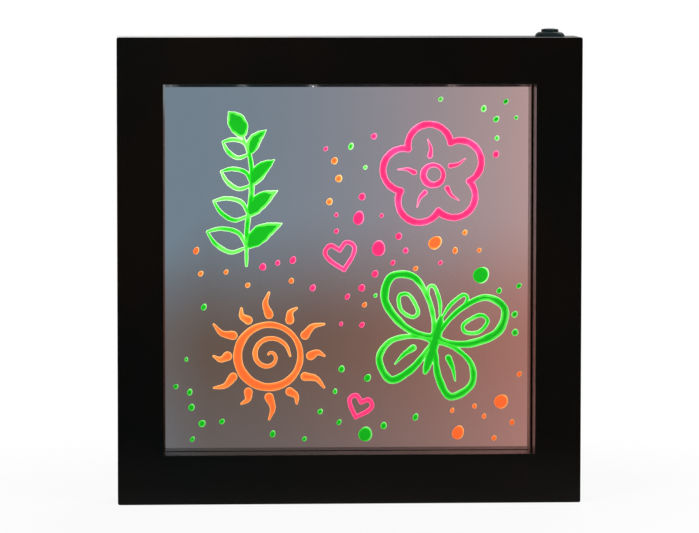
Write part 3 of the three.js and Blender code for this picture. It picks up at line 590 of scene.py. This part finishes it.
def screw_pattern():
    """Pan-head screws with a cross recess and a thread, heads to the back, seated on points."""
    tree = Pattern("screws")
    material = tree.input("Material", "Material")
    head, tall = tree.input("Head Radius"), tree.input("Head Height")
    shank, long = tree.input("Shank Radius"), tree.input("Shank Length")
    pitch, seed = tree.input("Thread Pitch"), tree.input("Seed", "Int")
    half = tree.times(tall, 0.5)
    disc = tree.first("GeometryNodeMeshCylinder", {"Vertices": 40, "Radius": head, "Depth": half})
    disc = tree.moved(disc, tree.times(tall, 0.25))
    shoulder = tree.first("GeometryNodeMeshCone", {
        "Vertices": 40, "Radius Top": tree.maths("SUBTRACT", head, half),
        "Radius Bottom": head, "Depth": half,
    })
    whole = tree.boolean("UNION", disc, tree.moved(shoulder, half))
    reach, slim = tree.times(head, 1.15), tree.times(head, 0.2)
    bars = []
    for size in ((reach, slim), (slim, reach)):
        bar = tree.first("GeometryNodeMeshCube", {"Size": tree.vector(*size, tall)})
        bars.append(tree.moved(bar, tree.times(tall, 0.95)))
    cut = tree.boolean("DIFFERENCE", tree.boolean("UNION", *bars), cut_from=whole)
    core = tree.first("GeometryNodeMeshCylinder", {
        "Vertices": 24, "Radius": tree.times(shank, 0.8), "Depth": long,
    })
    core = tree.moved(core, tree.times(long, -0.5))
    threaded, thread_radius = tree.times(long, 0.85), tree.times(shank, 0.86)
    thread = tree.wound(
        tree.maths("DIVIDE", threaded, pitch), thread_radius, thread_radius, threaded,
        wire=tree.times(shank, 0.14), steps=16, sides=6,
    )
    thread = tree.moved(thread, tree.times(long, -0.97))
    screw = tree.first("GeometryNodeJoinGeometry", {"Geometry": [cut, core, thread]})
    screw = tree.moved(screw, turn=(-quarter_turn, 0, 0))
    spin = tree.random((0, 0, 0), (0, full_turn, 0), seed)
    return tree.end(tree.on_points(screw, spin), material)


def coil_pattern():
    """A wound spring that may narrow on the way, standing on a point."""
    tree = Pattern("coil")
    sizes = ("Turns", "Start Radius", "End Radius", "Height", "Wire Radius")
    coil = tree.wound(*(tree.input(size) for size in sizes), steps=40, sides=12)
    coil = tree.moved(coil, turn=tree.input("Turn", "Vector"))
    return tree.end(tree.on_points(coil), tree.input("Material", "Material"))


def light_pattern():
    """Lights in a row: a square package with a round dish, and a lit disc in each dish."""
    tree = Pattern("lights")
    package, phosphor = (tree.input(name, "Material") for name in ("Package", "Phosphor"))
    size, tall = tree.input("Size"), tree.input("Height")
    dish, deep = tree.input("Dish Radius"), tree.input("Dish Depth")
    block = tree.first("GeometryNodeMeshCube", {"Size": tree.vector(size, size, tall)})
    bowl = tree.first("GeometryNodeMeshCone", {
        "Vertices": 36, "Radius Top": tree.times(dish, 0.82), "Radius Bottom": dish,
        "Depth": deep,
    })
    underside = tree.times(tall, -0.5)
    bowl = tree.moved(bowl, tree.maths("SUBTRACT", underside, 0.001 * mm))
    housing = tree.boolean("DIFFERENCE", bowl, cut_from=block)
    disc = tree.first("GeometryNodeMeshCylinder", {
        "Vertices": 36, "Radius": tree.times(dish, 0.8), "Depth": tree.times(deep, 0.4),
    })
    disc = tree.moved(disc, tree.maths("MULTIPLY_ADD", deep, 0.78, underside))
    parts = [tree.painted(housing, package), tree.painted(disc, phosphor)]
    return tree.end(tree.on_points(tree.first("GeometryNodeJoinGeometry", {"Geometry": parts})))


def dot_pattern():
    """Drops of ink on the panel: flat domes that lean to the right, each with its own radius and
    squeeze, and with its deep middle a little off centre."""
    tree = Pattern("ink dots")
    material = tree.input("Material", "Material")
    thick, seed = tree.input("Thickness"), tree.input("Seed", "Int")
    ball = tree.first("GeometryNodeMeshUVSphere", {"Segments": 28, "Rings": 14, "Radius": 1.0})
    ball = tree.moved(ball, turn=(quarter_turn, 0, 0))
    x, y, z = tree.apart(tree.first("GeometryNodeInputPosition"))
    narrowed = tree.times(x, tree.maths("MULTIPLY_ADD", z, -0.14, 1.0))
    flat = tree.vector(narrowed, tree.maths("MINIMUM", y, 0.0), z)
    dome = tree.first("GeometryNodeSetPosition", {"Geometry": ball, "Position": flat})
    away = tree.length(tree.vector(tree.plus(x, 0.08), 0.0, tree.plus(z, 0.1)))
    dome = tree.marked(dome, "inward", tree.maths("SUBTRACT", 1.0, away))
    radius = tree.known("dot_radius")
    lean = tree.random((0, 0.1, 0), (0, 0.85, 0), seed)
    width = tree.times(radius, tree.random(0.68, 0.92, seed))
    dots = tree.real(tree.on_points(dome, lean, tree.vector(width, thick, radius)))
    inset = tree.times(tree.known("inward"), tree.times(radius, 1.5))
    return tree.end(tree.marked(dots, "inset", inset), material)


# The drawing on the panel. Its motifs are drawn in millimetres from the middle of the opening,
# x to the right and z up, as strokes: a route, the pen that draws it and half its width.
ink_thick = 0.2 * mm
ink_gap = 0.01 * mm
ink_edge = 0.9
pen_step = 0.4
mark_step = 0.4
mark_half = 97.2


def smooth_route(points, closed=False):
    """A smooth curve through the given points, at even steps of the pen."""
    points = np.asarray(points, float)
    if closed:
        points = np.vstack([points[-1], points, points[:2]])
    else:
        points = np.vstack([2 * points[0] - points[1], points, 2 * points[-1] - points[-2]])
    t = np.linspace(0, 1, 24, endpoint=False)[:, None]
    bends = []
    for a, b, c, d in zip(points, points[1:], points[2:], points[3:]):
        square, cube = 2 * a - 5 * b + 4 * c - d, 3 * b - a - 3 * c + d
        bends.append(0.5 * (2 * b + (c - a) * t + square * t**2 + cube * t**3))
    line = np.vstack([*bends, bends[0][:1] if closed else points[-2:-1]])
    lengths = np.concatenate([[0], np.cumsum(np.linalg.norm(np.diff(line, axis=0), axis=1))])
    count = max(6, round(lengths[-1] / pen_step))
    marks = np.linspace(0, lengths[-1], count + 1)
    return np.column_stack([np.interp(marks, lengths, line[:, axis]) for axis in (0, 1)])


def arc(centre, radius, start, end):
    """A round route about a centre, with its angles in degrees."""
    turns = np.radians(np.linspace(start, end, max(8, round(abs(end - start) / 9))))
    across, up = radius * np.cos(turns), radius * np.sin(turns)
    return smooth_route(np.column_stack([centre[0] + across, centre[1] + up]))


def set_out(strokes, centre, turn, size=1.0):
    """Strokes turned, sized and moved to their place."""
    across, up = at_turn(1, math.radians(turn))
    spin = np.array([[across, up], [-up, across]])
    return [(size * (route @ spin) + np.asarray(centre), pen, half) for route, pen, half in strokes]


def even_pen(share):
    return 1


def loop_pen(share):
    """A closed line that the hand presses on more at one side."""
    return 1 + 0.24 * np.cos(full_turn * (share - 0.6))


def brush_pen(share):
    """Thin at both ends and full in the middle."""
    return 0.45 + 0.55 * np.sin(np.pi * share) ** 0.6


def ray_pen(share):
    """Full at the start and thin at the end."""
    return 1.25 - 0.9 * share


def leaf_pen(share):
    """The outline of a leaf filled with ink."""
    return 0.12 + np.sin(np.pi * share**0.8) ** 1.1


def sun():
    strokes = [(arc((0, 0), 17, 0, 360), loop_pen, 2.0)]
    swirl = [at_turn(11.5 * (1 - share), 9 * share) for share in np.linspace(0, 0.92, 16)]
    strokes.append((smooth_route(swirl), brush_pen, 1.35))
    rays, bend = 12, 0.07
    for ray in range(rays):
        turn = full_turn * ray / rays
        start, end = 22.5, 34.5 if ray % 2 else 30
        route = [at_turn(start, turn), at_turn((start + end) / 2, turn + bend), at_turn(end, turn)]
        strokes.append((smooth_route(route), ray_pen, 1.9))
    return strokes


def flower():
    petals, petal_out, petal_radius = 5, 16, 11.6
    half_step = math.pi / petals
    crossing = petal_out * math.cos(half_step)
    rise = math.sqrt(petal_radius**2 - (petal_out * math.sin(half_step)) ** 2)
    corner = at_turn(crossing + rise, half_step)
    open_angle = math.degrees(math.atan2(corner[1], corner[0] - petal_out))
    edge = arc((petal_out, 0), petal_radius, -open_angle, open_angle)
    vein = smooth_route([(10.5, 0.4), (14.5, -0.6), (19.5, 0.4)])
    strokes = [(arc((0, 0), 5.4, 0, 360), loop_pen, 1.6)]
    for petal in range(petals):
        turn = 90 + 360 * petal / petals
        strokes += set_out([(edge, even_pen, 1.9), (vein, ray_pen, 1.2)], (0, 0), turn)
    return strokes


def sprig():
    """A stem with pairs of leaves, the left ones in outline and the right ones filled."""
    stem = smooth_route([(-13, -39), (-8, -20), (-1, -2), (3, 16), (2, 30)])
    tip = smooth_route([(2, 30), (1, 37), (-2, 44)])
    strokes = [(stem, brush_pen, 1.6), (tip, leaf_pen, 4.4)]
    leaf_pairs = 4
    for pair in range(leaf_pairs):
        at = stem[round(len(stem) * (0.14 + 0.235 * pair))]
        length, wide = 23 - 2.4 * pair, 5.6 - 0.4 * pair
        lean, upright = 62 - 4 * pair, 82 + 3 * pair
        rim = smooth_route([(0, 0), (0.3 * length, wide), (0.7 * length, 0.8 * wide), (length, 0)])
        outline = [(rim, brush_pen, 1.3), (rim * (1, -1), brush_pen, 1.3)]
        blade = smooth_route([(0, 0), (length * 0.5, 1.8), (length, 0)])
        strokes += set_out(outline, at, upright + lean)
        strokes += set_out([(blade, leaf_pen, 4.2 - 0.35 * pair)], at, upright - lean)
    return strokes


def butterfly():
    upper = [(1.5, 3), (8, 18), (20, 29), (32, 26), (32, 13), (20, 3), (8, 0)]
    lower = [(1.5, -2), (12, -2), (23, -8), (26, -19), (17, -28), (8, -20), (3, -9)]
    upper_mark = [(13, 12), (20, 19), (25, 17), (22, 10), (15, 8)]
    lower_mark = [(10, -8), (14, -13), (17, -19)]
    feeler = [(0.5, 12), (3, 20), (8, 27), (11, 26), (10, 22)]
    strokes = [(smooth_route([(0, 12), (0.4, 0), (0, -19)]), brush_pen, 2.9)]
    for side in (-1, 1):
        for line, closed, pen, half in (
            (upper, True, loop_pen, 1.9), (lower, True, loop_pen, 1.75),
            (upper_mark, True, even_pen, 1.15), (lower_mark, False, ray_pen, 1.5),
            (feeler, False, brush_pen, 1.2),
        ):
            strokes.append((smooth_route(line * np.array([side, 1]), closed), pen, half))
    return strokes


def small_heart():
    side = np.array([(0, -6.5), (5.5, -0.8), (7, 3.4), (3.8, 6), (0, 3)])
    return [(smooth_route(side * (flip, 1)), even_pen, 1.25) for flip in (1, -1)]


# The motifs, each with its place, turn, size and ink, and how far the loose dots keep from it
motifs = (
    (sprig, (-52, 42), 14, 1.0, "green", 39),
    (butterfly, (47, -39), -16, 1.0, "green", 38),
    (sun, (-43, -48), 0, 1.0, "orange", 38),
    (flower, (46, 50), 8, 1.0, "pink", 32),
    (small_heart, (-4, 6), 12, 1.15, "pink", 12),
    (small_heart, (6, -76), -20, 0.9, "pink", 11),
)
stroke_seed = 7
dots_seed = 23
dot_count = 76
dot_reach = 95
dot_gap = 4.5
group_spread = 15


def ink_depths(strokes):
    """A square grid of marks, and how deep in the ink each one lies, below zero outside it."""
    marks = np.arange(-mark_half, mark_half + mark_step, mark_step)
    depths = np.full((len(marks), len(marks)), -mark_half)
    hand = random.Random(stroke_seed)
    for route, pen, width in strokes:
        share = np.linspace(0, 1, len(route))
        waves = [np.sin(full_turn * (share * count + hand.random())) for count in (2, 5, 11)]
        halves = width * pen(share) * (1 + 0.09 * (sum(waves) / 3))
        for spot, half in zip(route, halves):
            reach = half + 2 * mark_step
            (left, right), (low, high) = (
                np.searchsorted(marks, (at - reach, at + reach)) for at in spot
            )
            away = np.hypot(marks[left:right, None] - spot[0], marks[None, low:high] - spot[1])
            window = depths[left:right, low:high]
            np.maximum(window, half - away, out=window)
    return marks, depths


def ink_mesh(name, strokes, material):
    """The strokes as closed bodies of ink on the panel's front face, with how far in from the
    outline each point lies. Where strokes cross, they run into each other."""
    marks, depths = ink_depths(strokes)
    inked = depths > 0
    cells = inked[:-1, :-1] | inked[1:, :-1] | inked[:-1, 1:] | inked[1:, 1:]
    places, insets, faces, known = [], [], [], {}

    def point(key, x, z, inset=0.0, rise=0.0):
        if key not in known:
            known[key] = len(places)
            places.append((x * mm, panel_front - ink_gap - rise, middle_height + z * mm))
            insets.append(inset * mm)
        return known[key]

    for column, row in np.argwhere(cells).tolist():
        ring = [(column, row), (column + 1, row), (column + 1, row + 1), (column, row + 1)]
        front, back = [], []
        for here, there in zip(ring, ring[1:] + ring[:1]):
            x, z, depth = marks[here[0]], marks[here[1]], depths[here]
            if inked[here]:
                slope = 1 - min(depth / ink_edge, 1)
                rise = ink_thick * math.sqrt(1 - slope**2)
                front.append(point(("front", here), x, z, depth, rise))
                back.append(point(("back", here), x, z, depth))
            if inked[here] != inked[there]:
                share = depth / (depth - depths[there])
                x += share * (marks[there[0]] - x)
                z += share * (marks[there[1]] - z)
                outline = point(("outline", *sorted((here, there))), x, z)
                front.append(outline)
                back.append(outline)
        faces += [front, back[::-1]]
    mesh = bpy.data.meshes.new(name)
    mesh.from_pydata(places, [], faces)
    measured(mesh, "inset", insets)
    mesh.materials.append(material)
    return shaded(mesh, sharp_degrees=70)


def scattered_dots():
    """Places, radii and colours of the loose dots, which gather by colour in loose groups."""
    hand = random.Random(dots_seed)
    colours = ("green", "orange", "pink")
    heads = [(hand.uniform(-90, 90), hand.uniform(-90, 90), colour) for colour in colours * 6]
    dots = []
    while len(dots) < dot_count:
        head = hand.choice(heads)
        x, z = (hand.gauss(at, group_spread) for at in head[:2])
        large = hand.random() < 0.16
        radius = hand.uniform(3.0, 4.9) if large else hand.uniform(1.25, 2.2)
        colour = head[2] if hand.random() < 0.85 else hand.choice(colours)
        off = max(abs(x), abs(z)) > dot_reach - radius
        taken = [(*place, quiet) for _, place, _, _, _, quiet in motifs]
        taken += [(cx, cz, dot_gap + own) for cx, cz, own, _ in dots]
        near = any(math.hypot(x - cx, z - cz) < clear + radius for cx, cz, clear in taken)
        if not off and not near:
            dots.append((x, z, radius, colour))
    return dots


# The inks, each with its deep core, its body, its pale patches and its rim. Each ink glows with
# painted light, and its pale patches and the rim's brightness near the lights are painted light
ink_tints = {
    "green": ((0, 168, 14), (22, 208, 20), (128, 248, 104), (205, 255, 190)),
    "orange": ((255, 100, 38), (255, 116, 46), (255, 160, 62), (255, 214, 140)),
    "pink": ((236, 34, 104), (255, 52, 112), (250, 62, 144), (255, 140, 180)),
}


def draw_on_panel():
    dots = scattered_dots()
    pattern = dot_pattern()
    for seed, (colour, tints) in enumerate(ink_tints.items(), 1):
        ink = marker_ink(f"{colour} marker", *tints)
        strokes = [
            stroke for motif, place, turn, size, own_colour, _ in motifs if own_colour == colour
            for stroke in set_out(motif(), place, turn, size)
        ]
        link(f"{colour}_strokes", ink_mesh(f"{colour}_strokes", strokes, ink), "case")
        own = [dot for dot in dots if dot[3] == colour]
        spots = [(x * mm, panel_front - ink_gap, middle_height + z * mm) for x, z, _, _ in own]
        values = {"Material": ink, "Thickness": ink_thick, "Seed": seed}
        radii = [radius * mm for _, _, radius, _ in own]
        grown(f"{colour}_dots", pattern, spots, values, "case", radii=radii)


# The pieces of the push button
def button_pieces(plastic):
    low, high = corners("switch_body")
    cap_low, cap_high = corners("button_cap")
    axis = Matrix.Translation(((low.x + high.x) / 2, (low.y + high.y) / 2, 0))
    top = board_height
    collar = (high.x - low.x) / 2
    cap = (cap_high.x - cap_low.x) / 2
    well, barrel, chamber, stem = cap + 0.3 * mm, 6 * mm, 5 * mm, 3.5 * mm
    rim = well + 0.85 * mm
    start, pull, end = (collar, top + 0.5 * mm), (rim + 1.5 * mm, high.z - 0.3 * mm), (rim, high.z)
    flare = []
    flare_steps = 12
    for step in range(flare_steps + 1):
        share = step / flare_steps
        flare.append(tuple(
            (1 - share) ** 2 * a + 2 * share * (1 - share) * b + share**2 * c
            for a, b, c in zip(start, pull, end)
        ))
    foot_cut, face_cut, lip = 0.2 * mm, 0.15 * mm, 0.15 * mm
    floor, ledge = top + 0.4 * mm, top - 1.6 * mm
    body = [
        (chamber, low.z), (barrel - foot_cut, low.z), (barrel, low.z + foot_cut), (barrel, top),
        (collar - face_cut, top), (collar, top + face_cut), *flare,
        *round_over(well + lip, high.z - lip, lip, 90, 180, 3),
        (well, floor), (stem, floor), (stem, ledge), (chamber, ledge), (chamber, low.z),
    ]
    mesh = turned("button_collar", body, 96, axis, plastic)
    link("button_collar", mesh, "case", "switch_body", slot="button_plastic")
    socket, edge, crown, cap_cut = 2.1 * mm, 0.75 * mm, 0.35 * mm, 0.1 * mm
    socket_top = cap_low.z + 1.5 * mm
    flat = cap - edge
    edge_end = 90 - math.degrees(math.atan(2 * crown / flat))
    crown_rows = 8
    crowned = [
        (flat * (1 - row / crown_rows), cap_high.z - crown * (1 - row / crown_rows) ** 2)
        for row in range(1, crown_rows + 1)
    ]
    profile = [
        (0, socket_top), (socket, socket_top), (socket, cap_low.z),
        (cap - cap_cut, cap_low.z), (cap, cap_low.z + cap_cut),
        *round_over(flat, cap_high.z - crown - edge, edge, 0, edge_end), *crowned,
    ]
    mesh = turned("cap", profile, 96, axis, plastic)
    link("cap", mesh, "button", "button_cap", slot="button_plastic")


# The pieces of the battery bay
def battery_cells(sleeve):
    for number in range(1, 4):
        node = f"battery_cell_{number}"
        low, high = corners(node)
        length, radius = high.x - low.x, (high.z - low.z) / 2
        nub, step, bead, hollow = 2.75 * mm, 1.3 * mm, 0.7 * mm, 0.3 * mm
        dish, nub_edge = 0.25 * mm, 0.4 * mm
        shoulder = length - step
        profile = [
            (0, dish), (radius - 2.4 * mm, dish), (radius - 2 * mm, 0),
            *round_over(radius - bead, bead, bead, -90, 0),
            *round_over(radius - bead, shoulder - bead, bead, 0, 90),
            (radius - 1.6 * mm, shoulder), (radius - 1.9 * mm, shoulder - hollow),
            (nub + 0.5 * mm, shoulder - hollow), (nub, shoulder),
            *round_over(nub - nub_edge, length - nub_edge, nub_edge, 0, 90, 4), (0, length),
        ]
        centre = Vector((low.x, (low.y + high.y) / 2, (low.z + high.z) / 2))
        lying = Matrix.Translation(centre) @ Matrix.Rotation(quarter_turn, 4, "Y")
        mesh = turned(node, profile, 64, lying, sleeve)
        measured(mesh, "along", [(vertex.co.x - low.x) / length for vertex in mesh.vertices])
        link(f"cell_{number}", mesh, "case", node, slot="cell_wrap")


def coil(name, node, steel, foot, wide, tall, wire, turns, tip=None, turn=(0, 0, 0)):
    """A wound spring in the place of the model's own, and narrower at its tip if that is given."""
    radius = wide / 2 - wire
    return grown(name, coil_pattern(), [foot], {
        "Material": steel, "Turns": turns, "Start Radius": radius, "End Radius": tip or radius,
        "Height": tall - 2 * wire, "Wire Radius": wire, "Turn": turn,
    }, "case", node, slot="plated_steel")


def springs(steel):
    low, high = corners("button_spring")
    wire, length = 0.25 * mm, high.z - low.z
    foot = Vector(((low.x + high.x) / 2, (low.y + high.y) / 2, low.z + wire))
    spring = coil("return_spring", "button_spring", steel, foot, high.x - low.x, length, wire, 5.0)
    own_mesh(spring)
    low, high = corners("cell_spring")
    wire = 0.4 * mm
    foot = Vector((low.x + wire, (low.y + high.y) / 2, (low.z + high.z) / 2))
    coil(
        "cone_spring", "cell_spring", steel, foot, high.z - low.z, high.x - low.x, wire, 4.0,
        tip=2.6 * mm, turn=(0, quarter_turn, 0),
    )


# Each set of screws, which is one piece: its body, its nodes, its heads' height, its shanks' radius
screw_sets = {
    "case_screws": ("case", [f"case_screw_{number}" for number in range(1, 9)], 1.6 * mm, 1.2 * mm),
    "board_screws": ("case", ["board_screw_1", "board_screw_2"], 1.2 * mm, 0.8 * mm),
    "door_screws": ("battery_door", ["door_screw_1", "door_screw_2"], 1.6 * mm, 1.2 * mm),
}
thread_pitch = 0.8 * mm


def screws(steel):
    pattern = screw_pattern()
    for seed, (name, (body, nodes, head, shank)) in enumerate(screw_sets.items(), 3):
        boxes = [corners(node) for node in nodes]
        low, high = boxes[0]
        seats = [((a.x + b.x) / 2, b.y - head, (a.z + b.z) / 2) for a, b in boxes]
        grown(name, pattern, seats, {
            "Material": steel, "Head Radius": (high.x - low.x) / 2, "Head Height": head,
            "Shank Radius": shank, "Shank Length": high.y - low.y - head,
            "Thread Pitch": thread_pitch, "Seed": seed,
        }, body, *nodes, slot="plated_steel")


def lights(package, phosphor):
    low, high = led_boxes[0]
    spots = [(x, (low[1] + high[1]) / 2, (low[2] + high[2]) / 2) for x in led_places]
    grown("lights", light_pattern(), spots, {
        "Package": package, "Phosphor": phosphor, "Size": high[0] - low[0],
        "Height": high[2] - low[2], "Dish Radius": 2.0 * mm, "Dish Depth": 0.5 * mm,
    }, "case", *led_nodes, slot="led_package")


# Dressing the model's own nodes
def dress(material, *nodes):
    for node in nodes:
        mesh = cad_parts[node].data
        mesh.materials.clear()
        mesh.materials.append(material)


def dress_model():
    case = moulded(
        "satin black case", (7, 10, 9), (17, 12, 9), 0.09, 120 * mm, depth=0.004 * mm, walls=0.24,
    )
    cover = moulded(
        "grained black cover", (10, 10, 11), (15, 15, 16), 0.36, 25 * mm,
        grain=0.45 * mm, depth=0.02 * mm, walls=0.14, glow=edge_spill,
    )
    button = moulded(
        "dark button plastic", (18, 31, 32), (25, 39, 40), 0.5, 5 * mm,
        grain=0.2 * mm, depth=0.006 * mm, shine=0.08,
    )
    package = moulded(
        "white light package", (228, 226, 218), (241, 240, 234), 0.4, 2 * mm, depth=0.008 * mm,
    )
    resin = moulded("black resin", (20, 20, 22), (30, 30, 33), 0.45, 3 * mm, grain=0.15 * mm)
    nylon = moulded("white nylon", (218, 217, 210), (230, 229, 224), 0.5, 4 * mm)
    black = moulded("black sleeve", (22, 22, 23), (32, 32, 34), 0.5, 8 * mm)
    red = moulded("red sleeve", (160, 22, 24), (184, 34, 32), 0.5, 8 * mm)
    steel = metal("nickel-plated steel", (178, 180, 184), (205, 207, 210), 0.28)
    brass = metal("brass", (190, 150, 74), (212, 172, 92), 0.3)
    dress(case, "front_frame")
    dress(cover, "rear_cover", "battery_door")
    dress(lit_acrylic(), "acrylic_panel")
    dress(strip_board(), "led_strip")
    dress(nylon, "button_plunger")
    dress(resin, "switch_base", "control_chip", "filter_capacitor")
    dress(brass, "switch_lug_1", "switch_lug_2")
    dress(circuit_mask(), "control_board")
    dress(steel, "switch_nut", "negative_plate", "positive_plate")
    smooth_lead("minus_lead", "black_lead", "black_lead", black)
    smooth_lead("plus_lead", "red_lead", "red_lead", red)
    smooth_lead("light_lead", "led_lead", "white_plastic", nylon)
    for number in (1, 2):
        smooth_lead(f"button_lead_{number}", f"switch_lead_{number}", "white_plastic", nylon)
    button_pieces(button)
    battery_cells(cell_sleeve())
    springs(steel)
    screws(steel)
    lights(package, led_phosphor())


# The studio. The camera and glass find it white. Gloss finds it white behind the object, at the
# front level before it and at the right level low down on its right. Matt surfaces find the world
# at the ambient level.
front_level = 0.05
right_level = 0.25
ambient_level = 0.32
floor_half = 6.0
floor_clear = 0.9
white = (1, 1, 1, 1)
# Each lamp's name, place, size and power
lamps = (
    ("key", (-1.4, -1.9, 1.9), 1.2, 34),
    ("fill", (1.7, -1.4, 1.3), 1.4, 18),
    ("back", (0.7, 2.0, 1.7), 1.2, 26),
)


def add_lamps():
    for name, place, size, power in lamps:
        data = bpy.data.lights.new(name, "AREA")
        data.shape = "DISK"
        data.size = size
        data.energy = power
        lamp = added(name, data)
        aim = Vector((0, 0, middle_height)) - Vector(place)
        lamp.rotation_euler = aim.to_track_quat("-Z", "Y").to_euler()
        lamp.location = place


def seen_rays(nodes, behind):
    """1 for the rays that the camera, gloss and glass send out, and how white the studio looks to
    them: white to the camera and through glass, and by how far behind the object it is to gloss."""
    path = nodes.node("ShaderNodeLightPath").outputs
    plain = nodes.most(path["Is Camera Ray"], path["Is Transmission Ray"])
    return nodes.most(plain, path["Is Glossy Ray"]), nodes.most(plain, behind)


def make_floor():
    """Pale paper that takes the object's shadow close to it and clears to white further away."""
    finish = Finish("pale floor")
    _, y, _ = finish.axes()
    behind = finish.spread(y, -0.13, 0.5, 0.4 * front_level, 1.0, smooth=True)
    seen, level = seen_rays(finish, behind)
    paper = finish.mix(finish.noise(300 * mm), (226, 226, 226), (234, 234, 234))
    matt = finish.first("ShaderNodeBsdfDiffuse", {"Color": paper})
    lit = finish.first("ShaderNodeEmission", {"Color": white, "Strength": level})
    away = finish.length(finish.place)
    share = finish.times(seen, finish.spread(away, 0.14, 0.36, floor_clear, 1.0, smooth=True))
    mixed = finish.first("ShaderNodeMixShader", {0: share, 1: matt, 2: lit})
    finish.node("ShaderNodeOutputMaterial", {"Surface": mixed})
    mesh = bpy.data.meshes.new("floor")
    around = ((-1, -1), (1, -1), (1, 1), (-1, 1))
    mesh.from_pydata([(floor_half * x, floor_half * y, 0) for x, y in around], [], [(0, 1, 2, 3)])
    mesh.materials.append(finish.material)
    floor = added("floor", mesh)


def make_world():
    world = bpy.data.worlds.new("studio")
    world.use_nodes = True
    sky = Nodes(world.node_tree)
    right, back, up = sky.apart(sky.node("ShaderNodeTexCoord").outputs["Generated"])
    behind = sky.spread(back, -0.2, 0.7, front_level, 1.0, smooth=True)
    low_right = sky.spread(right, 0.022, 0.078, 1.0, right_level)
    dim = sky.most(low_right, sky.spread(up, 0.045, 0.1))
    seen, level = seen_rays(sky, sky.times(behind, dim))
    strength = sky.spread(seen, 0.0, 1.0, ambient_level, level)
    light = sky.first("ShaderNodeBackground", {"Color": white, "Strength": strength})
    sky.node("ShaderNodeOutputWorld", {"Surface": light})
    bpy.context.scene.world = world


make_camera()
dress_model()
draw_on_panel()
make_floor()
make_world()
add_lamps()
bpy.context.scene.view_settings.view_transform = "Standard"
